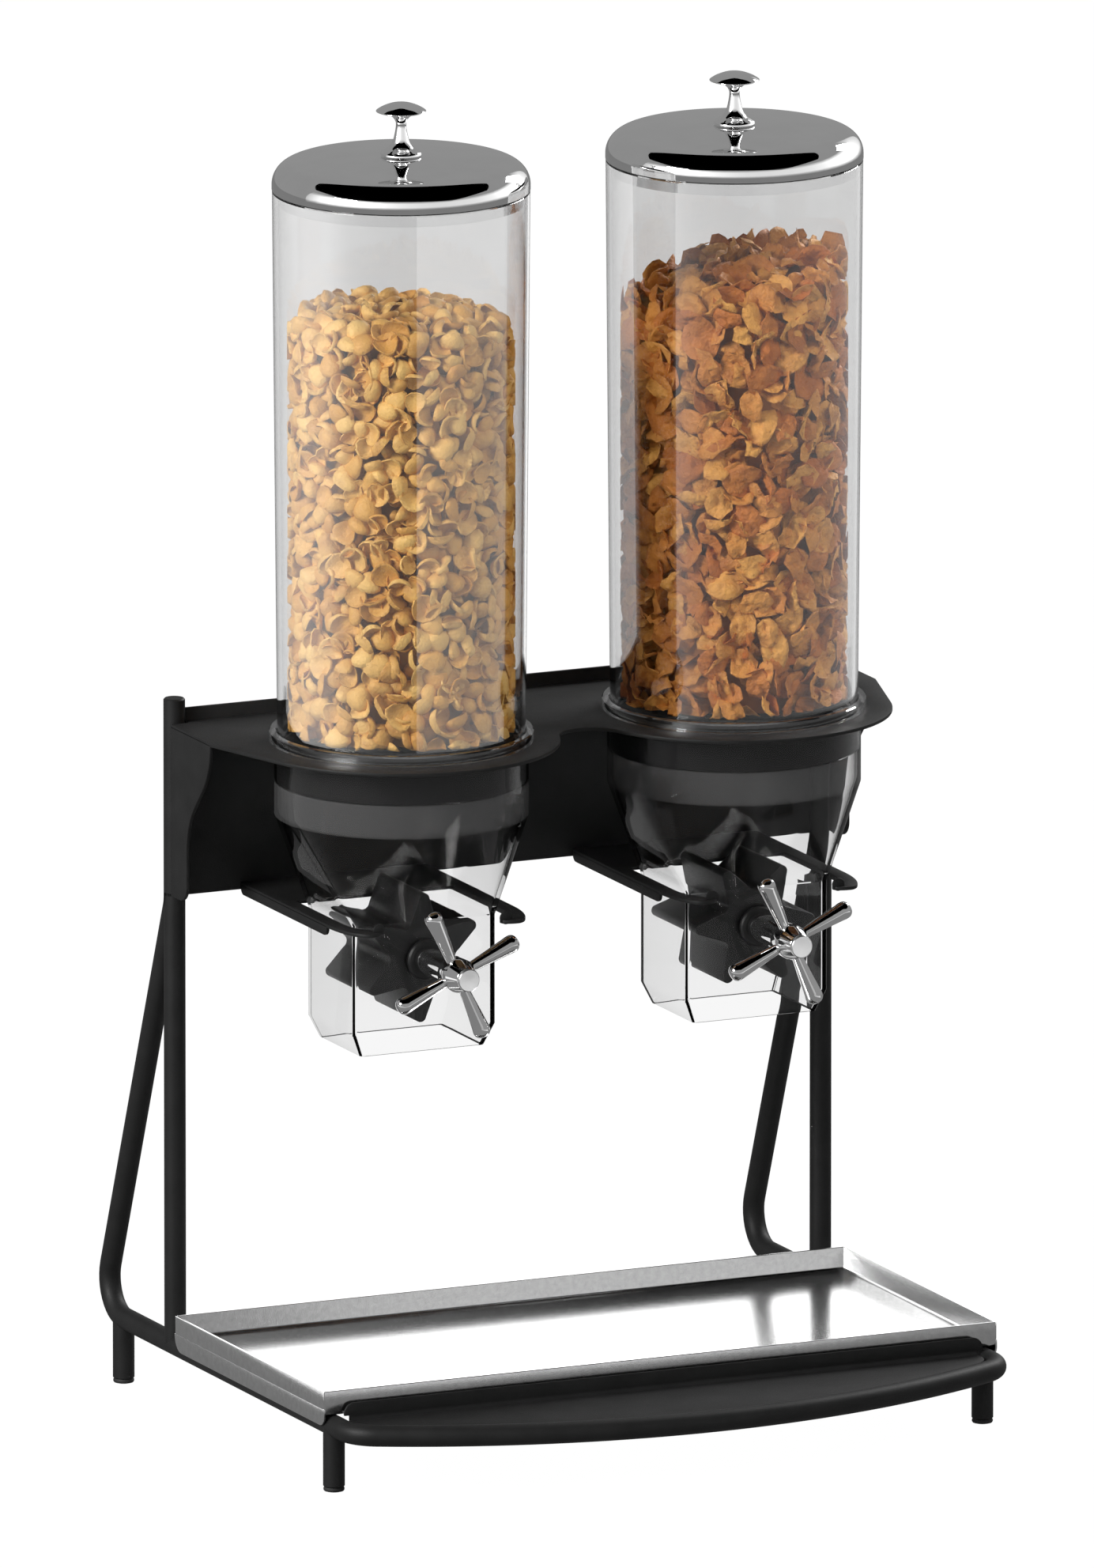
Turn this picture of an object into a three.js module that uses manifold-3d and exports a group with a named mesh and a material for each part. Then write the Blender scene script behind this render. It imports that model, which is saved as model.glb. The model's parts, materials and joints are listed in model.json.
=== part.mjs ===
// A two-canister cereal dispenser on a bent-rod stand.
// Millimetres, +X right, +Y back, +Z up. The origin is on the table under the middle of the stand.
import * as THREE from 'three';
import { mergeVertices } from 'three/addons/utils/BufferGeometryUtils.js';
import Module from 'manifold-3d';

const wasm = await Module();
wasm.setup();

// ---------------------------------------------------------------- driving dimensions

const GAP = 0.3; // clearance kept between faces that touch on the real object

// Rod frame
const ROD_R = 6; // the whole stand is bent from 12 mm rod
const SIDE_X = 195; // centre plane of each side frame
const POST_Y = 100.2; // centre line of the upright posts
const POST_TOP_Z = 400;
const BEND_Z = 286; // where a post turns into the slanting rear leg
const RUN_Z = 36.5; // centre height of the rods along the base
const REAR_CORNER_Y = 197.9; // where the rear leg would meet the base rod without its bend
const SIDE_BEND_R = 20;
const SIDE_JOINT_Y = -105; // side rods butt against the front bow here
const BOW_R = 400; // radius of the front bow
const BOW_FRONT_Y = -188.7; // centre line of the bow at its middle
const BOW_CORNER_R = 22;
const STRUT_TOP_Z = 281;
const FOOT_YS = { front: -112.5, rear: 170.1 };
const GLIDE_H = 2.5;

// Sheet metal of the stand
const SHEET_T = 2;
const SHELF_TOP_Z = 386.8;
const SHELF_HALF_X = 200;
const SHELF_CORNER_Y = 39.2; // where the straight side edge ends
const SCALLOP_R = 87; // shelf edge round each canister
const SCALLOP_FILLET_R = 18.5;
const SCALLOP_FILLET_Y = -25.5;
const SHELF_HOLE_R = 70.4;
const GUSSET_NARROW_Y = 73;
const PANEL_BOTTOM_Z = 289;
const PANEL_TOP_Z = 394;
const BRACKET_TOP_Z = 293.3;
const BRACKET_HALF_X = 56;
const BRACKET_SLOT_HALF_X = 47.4;
const BRACKET_FLANGE_Z = 286.5;
const BRACKET_FLANGE_Y = -16.2;
const FINGER_FRONT_Y = -50.2;
const FINGER_TIP_X = 35;
const FRONT_PLATE_Z = 39;
const FRONT_PLATE_T = 1.5;
const FRONT_LIP_Y = -118.2;
const FRONT_LIP_TOP_Z = 50;
const FRONT_LIP_HALF_X = 191.8; // above the base rods

// Tray
const TRAY_HALF_X = 202.5;
const TRAY_FRONT_Y = -115.6;
const TRAY_REAR_Y = 84.4;
const TRAY_TOP_Z = 56.7;
const TRAY_SKIRT_Z = 37;
const TRAY_T = 1.2;

// Dispensers
const AXIS_X = 100; // each dispenser's axis is this far left or right of the middle
const AXIS_Y = 8.1;
const CANISTER_BOTTOM_Z = 386;
const CANISTER_TOP_Z = 693.7;
const CANISTER_BOTTOM_R = 68;
const CANISTER_TOP_R = 70.5;
const CANISTER_WALL = 3;
const LID_BOTTOM_Z = 694;
const LID_R = 70.7;
const LID_APEX_Z = 712.9;
const LID_T = 1.2;
const KNOB_BASE_Z = 713.4;
const KNOB_TOP_Z = 742.5;
const FUNNEL_RIM_R = 72.5;
const FUNNEL_RIM_TOP_Z = 392.8;
const FUNNEL_R = 69.7;
const FUNNEL_BORE_R = 68.5;
const FUNNEL_LEDGE_Z = 364.7;
const FUNNEL_THROAT_R = 66.3;
const LOFT_TOP_Z = 346;
const NECK_TOP_Z = 291;
const CHUTE_TOP_Z = 230;
const CHUTE_BOTTOM_Z = 218;
const NECK_HALF = { x: 42.65, y: 31.7 };
const CHUTE_HALF = { x: 37.2, y: 28.7 };
const NECK_WALL = 2.3;
const SEAL_TOP_Z = 385.6;
const CEREAL_R = 62.6;
const CEREAL_BOTTOM_Z = 393;

// Metering wheel and handle; the axle lies along Y
const AXLE_Z = 270;
const AXLE_R = 4;
const WHEEL_R = 36;
const WHEEL_VALLEY_R = 19.5; // how close to the axle the gaps between paddles come
const WHEEL_HALF_LENGTH = 28.2;
const PADDLES = 6;
const BUSH_HOLE_R = 7.3;
const SPOKE_PLANE_Y = -66.2;
const SPOKE_REACH = 39.3;
const SPOKE_ROOT = 9.4;
const SPOKES = 4;
const SPOKE_ANGLE_DEG = 24;
const HANDLE_FRONT_Y = -82;

// ---------------------------------------------------------------- materials

const metal = (color, roughness) => new THREE.MeshStandardMaterial({ color, roughness, metalness: 1 });
const plain = (color, roughness) => new THREE.MeshStandardMaterial({ color, roughness, metalness: 0 });
const clear = (color, opacity) =>
  new THREE.MeshStandardMaterial({ color, roughness: 0.05, metalness: 0, transparent: true, opacity });

const POWDER_COAT = plain(0x2b2b2b, 0.55);
const CHROME = metal(0xc8c8c8, 0.08);
const SATIN_CHROME = metal(0xc4c4c4, 0.3);
const STAINLESS = metal(0xcfcfcb, 0.32);
const STEEL = metal(0xa8a8a8, 0.35);
const ACRYLIC = clear(0xf2f4f4, 0.25);
const POLYCARBONATE = clear(0xeef0f0, 0.3);
const WHEEL_RUBBER = plain(0x1c1c1c, 0.6);
const SEAL_RUBBER = plain(0x161616, 0.7);
const BUSH_PLASTIC = plain(0x202020, 0.5);
const FOOT_RUBBER = plain(0x181818, 0.8);
const PALE_CEREAL = plain(0xd9b272, 0.85);
const AMBER_CEREAL = plain(0xb87333, 0.85);

// ---------------------------------------------------------------- geometry helpers

// Facets round each kind of piece; nested pieces share one count, so that their facets lie side by side.
const BIG_ROUND = 32;
const ROD_SIDES = 10;
const FOOT_SIDES = 12;
const SMALL_ROUND = 14;
const SPOKE_SIDES = 8;

/** Drops everything but position, welds vertices, removes slivers and turns the faces outwards. */
function closed(geometry) {
  geometry.deleteAttribute('normal');
  geometry.deleteAttribute('uv');
  const welded = mergeVertices(geometry, 1e-4);
  const index = welded.index.array;
  const p = welded.attributes.position;
  const kept = [];
  let volume = 0;
  const [a, b, c] = [new THREE.Vector3(), new THREE.Vector3(), new THREE.Vector3()];
  for (let i = 0; i < index.length; i += 3) {
    const [ia, ib, ic] = [index[i], index[i + 1], index[i + 2]];
    if (ia === ib || ib === ic || ic === ia) continue;
    kept.push(ia, ib, ic);
    a.fromBufferAttribute(p, ia);
    b.fromBufferAttribute(p, ib);
    c.fromBufferAttribute(p, ic);
    volume += a.dot(b.cross(c));
  }
  if (volume < 0) kept.reverse();
  welded.setIndex(kept);
  return welded;
}

function toSolid(geometry) {
  const body = closed(geometry);
  const vertProperties = new Float32Array(body.attributes.position.array);
  const triVerts = new Uint32Array(body.index.array);
  return new wasm.Manifold(new wasm.Mesh({ numProp: 3, vertProperties, triVerts }));
}

function toGeometry(solid) {
  const mesh = solid.getMesh();
  const geometry = new THREE.BufferGeometry();
  geometry.setAttribute('position', new THREE.BufferAttribute(mesh.vertProperties, 3));
  geometry.setIndex(new THREE.BufferAttribute(mesh.triVerts, 1));
  return geometry;
}

const union = (first, ...rest) =>
  toGeometry(rest.reduce((sum, geometry) => sum.add(toSolid(geometry)), toSolid(first)));
const cut = (body, tool) => toGeometry(toSolid(body).subtract(toSolid(tool)));

/** A solid of revolution about +Z from [radius, z] points; no vertex of it lies on the X or Y axis. */
function turned(profile, segments) {
  const points = profile.map(([r, z]) => new THREE.Vector2(r, z));
  const geometry = new THREE.LatheGeometry(points, segments).rotateX(Math.PI / 2);
  return closed(geometry.rotateZ(Math.PI / segments));
}

/** The same with a bore: the profile closes on itself. */
const turnedRing = (profile, segments) => turned([...profile, profile[0]], segments);

/** Turns a piece built along +Z so that its axis points along -Y (towards the front). */
const facingFront = (geometry) => geometry.rotateX(Math.PI / 2);

function box(x0, x1, y0, y1, z0, z1) {
  const geometry = new THREE.BoxGeometry(x1 - x0, y1 - y0, z1 - z0);
  return geometry.translate((x0 + x1) / 2, (y0 + y1) / 2, (z0 + z1) / 2);
}

/** Extrudes a shape drawn in X and Y from z0 to z1. */
function flatPlate(shape, z0, z1, curveSegments) {
  const options = { depth: z1 - z0, bevelEnabled: false, curveSegments };
  const geometry = new THREE.ExtrudeGeometry(shape, options);
  return geometry.translate(0, 0, z0);
}

/** Extrudes a shape drawn in Y and Z from x0 to x1. */
function sidePlate(shape, x0, x1, curveSegments) {
  const options = { depth: x1 - x0, bevelEnabled: false, curveSegments };
  const geometry = new THREE.ExtrudeGeometry(shape, options);
  const turn = new THREE.Matrix4().makeBasis(
    new THREE.Vector3(0, 1, 0), new THREE.Vector3(0, 0, 1), new THREE.Vector3(1, 0, 0));
  return geometry.applyMatrix4(turn).translate(x0, 0, 0);
}

/** Extrudes a shape drawn in X and Z from the back face y1 forward to y0. */
function frontPlate(shape, y0, y1, curveSegments) {
  const options = { depth: y1 - y0, bevelEnabled: false, curveSegments };
  const geometry = new THREE.ExtrudeGeometry(shape, options);
  const turn = new THREE.Matrix4().makeBasis(
    new THREE.Vector3(1, 0, 0), new THREE.Vector3(0, 0, 1), new THREE.Vector3(0, -1, 0));
  return geometry.applyMatrix4(turn).translate(0, y1, 0);
}

/** Rod centre line: straight runs between corners, each inner corner rounded to its radius. */
function bentLine(corners, radius, steps) {
  const points = [corners[0]];
  for (let i = 1; i < corners.length - 1; i += 1) {
    const back = corners[i - 1].clone().sub(corners[i]).normalize();
    const on = corners[i + 1].clone().sub(corners[i]).normalize();
    const half = back.angleTo(on) / 2;
    const inwards = back.clone().add(on).normalize();
    const centre = inwards.multiplyScalar(radius / Math.sin(half)).add(corners[i]);
    const tangentLength = radius / Math.tan(half);
    const start = back.clone().multiplyScalar(tangentLength).add(corners[i]).sub(centre);
    const end = on.clone().multiplyScalar(tangentLength).add(corners[i]).sub(centre);
    const axis = start.clone().cross(end).normalize();
    for (let s = 0; s <= steps; s += 1) {
      const turn = (start.angleTo(end) * s) / steps;
      points.push(start.clone().applyAxisAngle(axis, turn).add(centre));
    }
  }
  points.push(corners[corners.length - 1]);
  return points;
}

/** A closed round rod along a centre line that lies in one plane with the given normal. */
function rod(line, normal, radius, sides) {
  const rings = line.map((point, i) => {
    const before = line[Math.max(i - 1, 0)];
    const after = line[Math.min(i + 1, line.length - 1)];
    const inwards = normal.clone().cross(after.clone().sub(before).normalize());
    return Array.from({ length: sides }, (_, k) => {
      const turn = (2 * Math.PI * k) / sides;
      return inwards.clone().multiplyScalar(radius * Math.cos(turn))
        .addScaledVector(normal, radius * Math.sin(turn)).add(point);
    });
  });
  return skin(rings, false);
}

/** Joins rings of points into one closed surface, capped at its ends or closed on itself. */
function skin(rings, loops) {
  const sides = rings[0].length;
  const position = rings.flat().flatMap((v) => [v.x, v.y, v.z]);
  const index = [];
  const bands = loops ? rings.length : rings.length - 1;
  for (let r = 0; r < bands; r += 1) {
    const low = r * sides;
    const high = ((r + 1) % rings.length) * sides;
    for (let k = 0; k < sides; k += 1) {
      const next = (k + 1) % sides;
      index.push(low + k, low + next, high + next, low + k, high + next, high + k);
    }
  }
  if (!loops) {
    const last = (rings.length - 1) * sides;
    for (let k = 1; k < sides - 1; k += 1) {
      index.push(0, k + 1, k);
      index.push(last, last + k, last + k + 1);
    }
  }
  const geometry = new THREE.BufferGeometry();
  geometry.setAttribute('position', new THREE.Float32BufferAttribute(position, 3));
  geometry.setIndex(index);
  return closed(geometry);
}

/** One level of a hollow moulding: a rectangle with round corners, which is a circle at full radius. */
function roundedRing(halfX, halfY, radius, z, perCorner) {
  const ring = [];
  for (let corner = 0; corner < 4; corner += 1) {
    const sx = corner === 0 || corner === 3 ? 1 : -1;
    const sy = corner < 2 ? 1 : -1;
    for (let k = 0; k < perCorner; k += 1) {
      const turn = ((corner + (k + 0.5) / perCorner) * Math.PI) / 2;
      const x = sx * (halfX - radius) + radius * Math.cos(turn);
      const y = sy * (halfY - radius) + radius * Math.sin(turn);
      ring.push(new THREE.Vector3(x, y, z));
    }
  }
  return ring;
}

const root = new THREE.Group();

function add(parent, name, geometry, material) {
  const mesh = new THREE.Mesh(closed(geometry), material);
  mesh.name = name;
  parent.add(mesh);
  return mesh;
}

// ---------------------------------------------------------------- rod stand

const X_AXIS = new THREE.Vector3(1, 0, 0);
const Z_AXIS = new THREE.Vector3(0, 0, 1);
function sideLine(x) {
  const corners = [
    new THREE.Vector3(x, POST_Y, POST_TOP_Z),
    new THREE.Vector3(x, POST_Y, BEND_Z),
    new THREE.Vector3(x, REAR_CORNER_Y, RUN_Z),
    new THREE.Vector3(x, SIDE_JOINT_Y, RUN_Z),
  ];
  return bentLine(corners, SIDE_BEND_R, 4);
}

/** The bow's centre line: side run, corner, shallow arc, corner, side run. */
function bowLine() {
  const centreY = BOW_FRONT_Y + BOW_R;
  const cornerX = SIDE_X - BOW_CORNER_R;
  const reach = BOW_R - BOW_CORNER_R;
  const cornerY = centreY - Math.sqrt(reach ** 2 - cornerX ** 2);
  const joint = Math.asin(cornerX / reach);
  const half = [];
  const arcSteps = 5;
  const cornerSteps = 4;
  for (let s = 0; s <= arcSteps; s += 1) {
    const turn = (joint * s) / arcSteps;
    half.push([BOW_R * Math.sin(turn), centreY - BOW_R * Math.cos(turn)]);
  }
  for (let s = 1; s <= cornerSteps; s += 1) {
    const turn = joint + ((Math.PI / 2 - joint) * s) / cornerSteps;
    half.push([cornerX + BOW_CORNER_R * Math.sin(turn), cornerY - BOW_CORNER_R * Math.cos(turn)]);
  }
  half.push([SIDE_X, SIDE_JOINT_Y - GAP]);
  const right = half.map(([x, y]) => new THREE.Vector3(x, y, RUN_Z));
  const left = half.slice(1).reverse().map(([x, y]) => new THREE.Vector3(-x, y, RUN_Z));
  return [...left, ...right];
}

const sides = { left: -1, right: 1 };

for (const [side, sign] of Object.entries(sides)) {
  const x = sign * SIDE_X;
  add(root, `side_rod_${side}`, rod(sideLine(x), X_AXIS, ROD_R, ROD_SIDES), POWDER_COAT);

  const strutBottom = RUN_Z + ROD_R + GAP;
  const strut = turned([
    [0, strutBottom], [ROD_R, strutBottom], [ROD_R, STRUT_TOP_Z], [0, STRUT_TOP_Z],
  ], ROD_SIDES).translate(x, POST_Y, 0);
  const legClearance = rod(sideLine(x), X_AXIS, ROD_R + GAP, ROD_SIDES);
  add(root, `strut_${side}`, cut(strut, legClearance), POWDER_COAT);

  for (const [end, y] of Object.entries(FOOT_YS)) {
    const footTop = RUN_Z - ROD_R - GAP;
    const footBottom = GLIDE_H + GAP;
    const foot = turned([[0, footBottom], [ROD_R, footBottom], [ROD_R, footTop], [0, footTop]], FOOT_SIDES);
    add(root, `foot_${end}_${side}`, foot.translate(x, y, 0), POWDER_COAT);
    const glideProfile = [[0, 0], [ROD_R - 0.8, 0], [ROD_R, 0.8], [ROD_R, GLIDE_H], [0, GLIDE_H]];
    const glide = turned(glideProfile, FOOT_SIDES);
    add(root, `glide_${end}_${side}`, glide.translate(x, y, 0), FOOT_RUBBER);
  }
}
add(root, 'front_bow', rod(bowLine(), Z_AXIS, ROD_R, ROD_SIDES), POWDER_COAT);

/** The flat plate inside the bow, with its rear edge folded up behind the tray's front wall. */
function frontPlateGeometry() {
  const outerR = BOW_R - ROD_R - GAP;
  const cornerR = BOW_CORNER_R - ROD_R - GAP;
  const centreY = BOW_FRONT_Y + BOW_R;
  const cornerX = SIDE_X - BOW_CORNER_R;
  const cornerY = centreY - Math.sqrt((BOW_R - BOW_CORNER_R) ** 2 - cornerX ** 2);
  const joint = Math.asin(cornerX / (BOW_R - BOW_CORNER_R));
  const down = -Math.PI / 2;
  const sheet = new THREE.Shape();
  sheet.moveTo(-cornerX - cornerR, FRONT_LIP_Y);
  sheet.absarc(-cornerX, cornerY, cornerR, Math.PI, down - joint, false);
  sheet.absarc(0, centreY, outerR, down - joint, down + joint, false);
  sheet.absarc(cornerX, cornerY, cornerR, down + joint, 0, false);
  sheet.lineTo(cornerX + cornerR, FRONT_LIP_Y);
  sheet.closePath();
  const footHalfX = cornerX + cornerR;
  const overRodZ = RUN_Z + ROD_R + GAP + 0.2;
  const lipCornerR = 6;
  const lipArcX = FRONT_LIP_HALF_X - lipCornerR;
  const lipArcZ = FRONT_LIP_TOP_Z - lipCornerR;
  const lip = new THREE.Shape();
  lip.moveTo(-footHalfX, FRONT_PLATE_Z);
  lip.lineTo(footHalfX, FRONT_PLATE_Z);
  lip.lineTo(footHalfX, overRodZ);
  lip.lineTo(FRONT_LIP_HALF_X, overRodZ);
  lip.absarc(lipArcX, lipArcZ, lipCornerR, 0, Math.PI / 2, false);
  lip.absarc(-lipArcX, lipArcZ, lipCornerR, Math.PI / 2, Math.PI, false);
  lip.lineTo(-FRONT_LIP_HALF_X, overRodZ);
  lip.lineTo(-footHalfX, overRodZ);
  lip.closePath();
  return union(
    flatPlate(sheet, FRONT_PLATE_Z, FRONT_PLATE_Z + FRONT_PLATE_T, 8),
    frontPlate(lip, FRONT_LIP_Y - FRONT_PLATE_T, FRONT_LIP_Y, 5));
}
add(root, 'front_plate', frontPlateGeometry(), POWDER_COAT);

// ---------------------------------------------------------------- sheet-metal shelf, panel and brackets

/** Shelf sheet: scalloped front round the canisters, tapered front corners, notches at the posts. */
function shelfShape() {
  const postFrontY = POST_Y - ROD_R - GAP;
  const panelFrontY = POST_Y - SHEET_T / 2 - GAP;
  const notchX = SIDE_X - ROD_R - GAP;
  const away = Math.atan2(SHELF_CORNER_Y - AXIS_Y, SHELF_HALF_X - AXIS_X);
  const reach = Math.hypot(SHELF_CORNER_Y - AXIS_Y, SHELF_HALF_X - AXIS_X);
  const tangent = away - Math.acos(SCALLOP_R / reach);
  const inner = Math.atan2(SCALLOP_FILLET_Y - AXIS_Y, AXIS_X);
  const shape = new THREE.Shape();
  shape.moveTo(notchX, postFrontY);
  shape.lineTo(notchX, panelFrontY);
  shape.lineTo(-notchX, panelFrontY);
  shape.lineTo(-notchX, postFrontY);
  shape.lineTo(-SHELF_HALF_X, postFrontY);
  shape.lineTo(-SHELF_HALF_X, SHELF_CORNER_Y);
  shape.absarc(-AXIS_X, AXIS_Y, SCALLOP_R, -Math.PI - tangent, inner, false);
  shape.absarc(0, SCALLOP_FILLET_Y, SCALLOP_FILLET_R, Math.PI + inner, -inner, true);
  shape.absarc(AXIS_X, AXIS_Y, SCALLOP_R, -Math.PI - inner, tangent, false);
  shape.lineTo(SHELF_HALF_X, SHELF_CORNER_Y);
  shape.lineTo(SHELF_HALF_X, postFrontY);
  shape.closePath();
  for (const sign of Object.values(sides)) {
    const hole = new THREE.Path();
    hole.absarc(sign * AXIS_X, AXIS_Y, SHELF_HOLE_R, 0, 2 * Math.PI, true);
    shape.holes.push(hole);
  }
  return shape;
}

/** Side flange under the shelf, deep at the top and narrowing in an S-curve to the post. */
function gussetShape() {
  const rearY = POST_Y - ROD_R - GAP;
  const topZ = SHELF_TOP_Z - SHEET_T / 2;
  const bottomZ = PANEL_BOTTOM_Z + 1.5;
  const narrowTopZ = 318;
  const swingZ = 352;
  const cornerR = 9;
  const shape = new THREE.Shape();
  shape.moveTo(rearY, topZ);
  shape.lineTo(SHELF_CORNER_Y + 2, topZ);
  shape.bezierCurveTo(SHELF_CORNER_Y + 2, swingZ, GUSSET_NARROW_Y, swingZ, GUSSET_NARROW_Y, narrowTopZ);
  shape.lineTo(GUSSET_NARROW_Y, bottomZ + cornerR);
  shape.absarc(GUSSET_NARROW_Y + cornerR, bottomZ + cornerR, cornerR, Math.PI, 1.5 * Math.PI, false);
  shape.lineTo(rearY, bottomZ);
  shape.closePath();
  return shape;
}

add(root, 'shelf', union(
  flatPlate(shelfShape(), SHELF_TOP_Z - SHEET_T, SHELF_TOP_Z, 12),
  sidePlate(gussetShape(), -SHELF_HALF_X, -SHELF_HALF_X + SHEET_T, 7),
  sidePlate(gussetShape(), SHELF_HALF_X - SHEET_T, SHELF_HALF_X, 7)), POWDER_COAT);

const panelHalfX = SIDE_X - ROD_R - GAP;
add(root, 'back_panel', box(-panelHalfX, panelHalfX, POST_Y - SHEET_T / 2, POST_Y + SHEET_T / 2,
  PANEL_BOTTOM_Z, PANEL_TOP_Z), POWDER_COAT);

/** Fork under a funnel, centred on X = 0: a slotted plate with two hooked fingers and side flanges. */
function bracketGeometry() {
  const rearY = POST_Y - SHEET_T / 2 - GAP;
  const slotRearY = AXIS_Y + NECK_HALF.y + 4;
  const noseStartY = FINGER_FRONT_Y + 14; // control point of the outer curve
  const noseX = 44; // foremost point of a finger
  const noseOuterX = 50;
  const noseInnerX = 39;
  const tipFrontY = FINGER_FRONT_Y + 2;
  const tipY = FINGER_FRONT_Y + 5;
  const tipRearY = FINGER_FRONT_Y + 9;
  const plate = new THREE.Shape();
  plate.moveTo(-BRACKET_HALF_X, rearY);
  plate.lineTo(-BRACKET_HALF_X, BRACKET_FLANGE_Y);
  plate.bezierCurveTo(-BRACKET_HALF_X, noseStartY, -noseOuterX, FINGER_FRONT_Y, -noseX, FINGER_FRONT_Y);
  plate.bezierCurveTo(-noseInnerX, FINGER_FRONT_Y, -FINGER_TIP_X, tipFrontY, -FINGER_TIP_X, tipY);
  plate.bezierCurveTo(
    -FINGER_TIP_X, tipRearY, -BRACKET_SLOT_HALF_X, tipRearY, -BRACKET_SLOT_HALF_X, BRACKET_FLANGE_Y);
  plate.lineTo(-BRACKET_SLOT_HALF_X, slotRearY);
  plate.lineTo(BRACKET_SLOT_HALF_X, slotRearY);
  plate.lineTo(BRACKET_SLOT_HALF_X, BRACKET_FLANGE_Y);
  plate.bezierCurveTo(BRACKET_SLOT_HALF_X, tipRearY, FINGER_TIP_X, tipRearY, FINGER_TIP_X, tipY);
  plate.bezierCurveTo(FINGER_TIP_X, tipFrontY, noseInnerX, FINGER_FRONT_Y, noseX, FINGER_FRONT_Y);
  plate.bezierCurveTo(
    noseOuterX, FINGER_FRONT_Y, BRACKET_HALF_X, noseStartY, BRACKET_HALF_X, BRACKET_FLANGE_Y);
  plate.lineTo(BRACKET_HALF_X, rearY);
  plate.closePath();
  const cornerR = 4;
  const flangeTopZ = BRACKET_TOP_Z - SHEET_T / 2;
  const flangeArcZ = BRACKET_FLANGE_Z + cornerR;
  const flange = new THREE.Shape();
  flange.moveTo(rearY, flangeTopZ);
  flange.lineTo(BRACKET_FLANGE_Y, flangeTopZ);
  flange.lineTo(BRACKET_FLANGE_Y, flangeArcZ);
  flange.absarc(BRACKET_FLANGE_Y + cornerR, flangeArcZ, cornerR, Math.PI, 1.5 * Math.PI, false);
  flange.absarc(rearY - cornerR, flangeArcZ, cornerR, 1.5 * Math.PI, 2 * Math.PI, false);
  flange.closePath();
  const lugR = 3.6;
  const lugX = FINGER_TIP_X + 3;
  const lugFrontY = FINGER_FRONT_Y + 3;
  const lugT = 1.6;
  const lugs = [-1, 1].map((sign) => {
    const lug = new THREE.Shape();
    lug.absarc(sign * lugX, BRACKET_TOP_Z + 1, lugR, 0, 2 * Math.PI, false);
    return frontPlate(lug, lugFrontY, lugFrontY + lugT, 6);
  });
  return union(
    flatPlate(plate, BRACKET_TOP_Z - SHEET_T, BRACKET_TOP_Z, 5),
    sidePlate(flange, -BRACKET_HALF_X, -BRACKET_HALF_X + SHEET_T, 4),
    sidePlate(flange, BRACKET_HALF_X - SHEET_T, BRACKET_HALF_X, 4),
    ...lugs);
}

// ---------------------------------------------------------------- tray

/** Side wall and skirt in one, from above the tray floor to beside the base rod; round lower corners. */
function traySideShape() {
  const frontR = 6;
  const rearR = 9;
  const shape = new THREE.Shape();
  shape.moveTo(TRAY_FRONT_Y, TRAY_TOP_Z);
  shape.absarc(TRAY_FRONT_Y + frontR, TRAY_SKIRT_Z + frontR, frontR, Math.PI, 1.5 * Math.PI, false);
  shape.absarc(TRAY_REAR_Y - rearR, TRAY_SKIRT_Z + rearR, rearR, 1.5 * Math.PI, 2 * Math.PI, false);
  shape.lineTo(TRAY_REAR_Y, TRAY_TOP_Z);
  shape.closePath();
  return shape;
}

function trayGeometry() {
  const floorZ = RUN_Z + ROD_R + GAP;
  const innerX = TRAY_HALF_X - TRAY_T;
  const overlap = TRAY_T / 2;
  return union(
    box(-innerX - overlap, innerX + overlap, TRAY_FRONT_Y, TRAY_REAR_Y, floorZ, floorZ + TRAY_T),
    box(-innerX - overlap, innerX + overlap, TRAY_FRONT_Y, TRAY_FRONT_Y + TRAY_T, floorZ, TRAY_TOP_Z),
    box(-innerX - overlap, innerX + overlap, TRAY_REAR_Y - TRAY_T, TRAY_REAR_Y, floorZ, TRAY_TOP_Z),
    sidePlate(traySideShape(), -TRAY_HALF_X, -innerX, 5),
    sidePlate(traySideShape(), innerX, TRAY_HALF_X, 5));
}
add(root, 'tray', trayGeometry(), STAINLESS);

// ---------------------------------------------------------------- canister, lid and funnel

/** Tapered clear tube, open at both ends. */
function canisterGeometry() {
  return turnedRing([
    [CANISTER_BOTTOM_R, CANISTER_BOTTOM_Z],
    [CANISTER_TOP_R, CANISTER_TOP_Z],
    [CANISTER_TOP_R - CANISTER_WALL, CANISTER_TOP_Z],
    [CANISTER_BOTTOM_R - CANISTER_WALL, CANISTER_BOTTOM_Z],
  ], BIG_ROUND);
}

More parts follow.
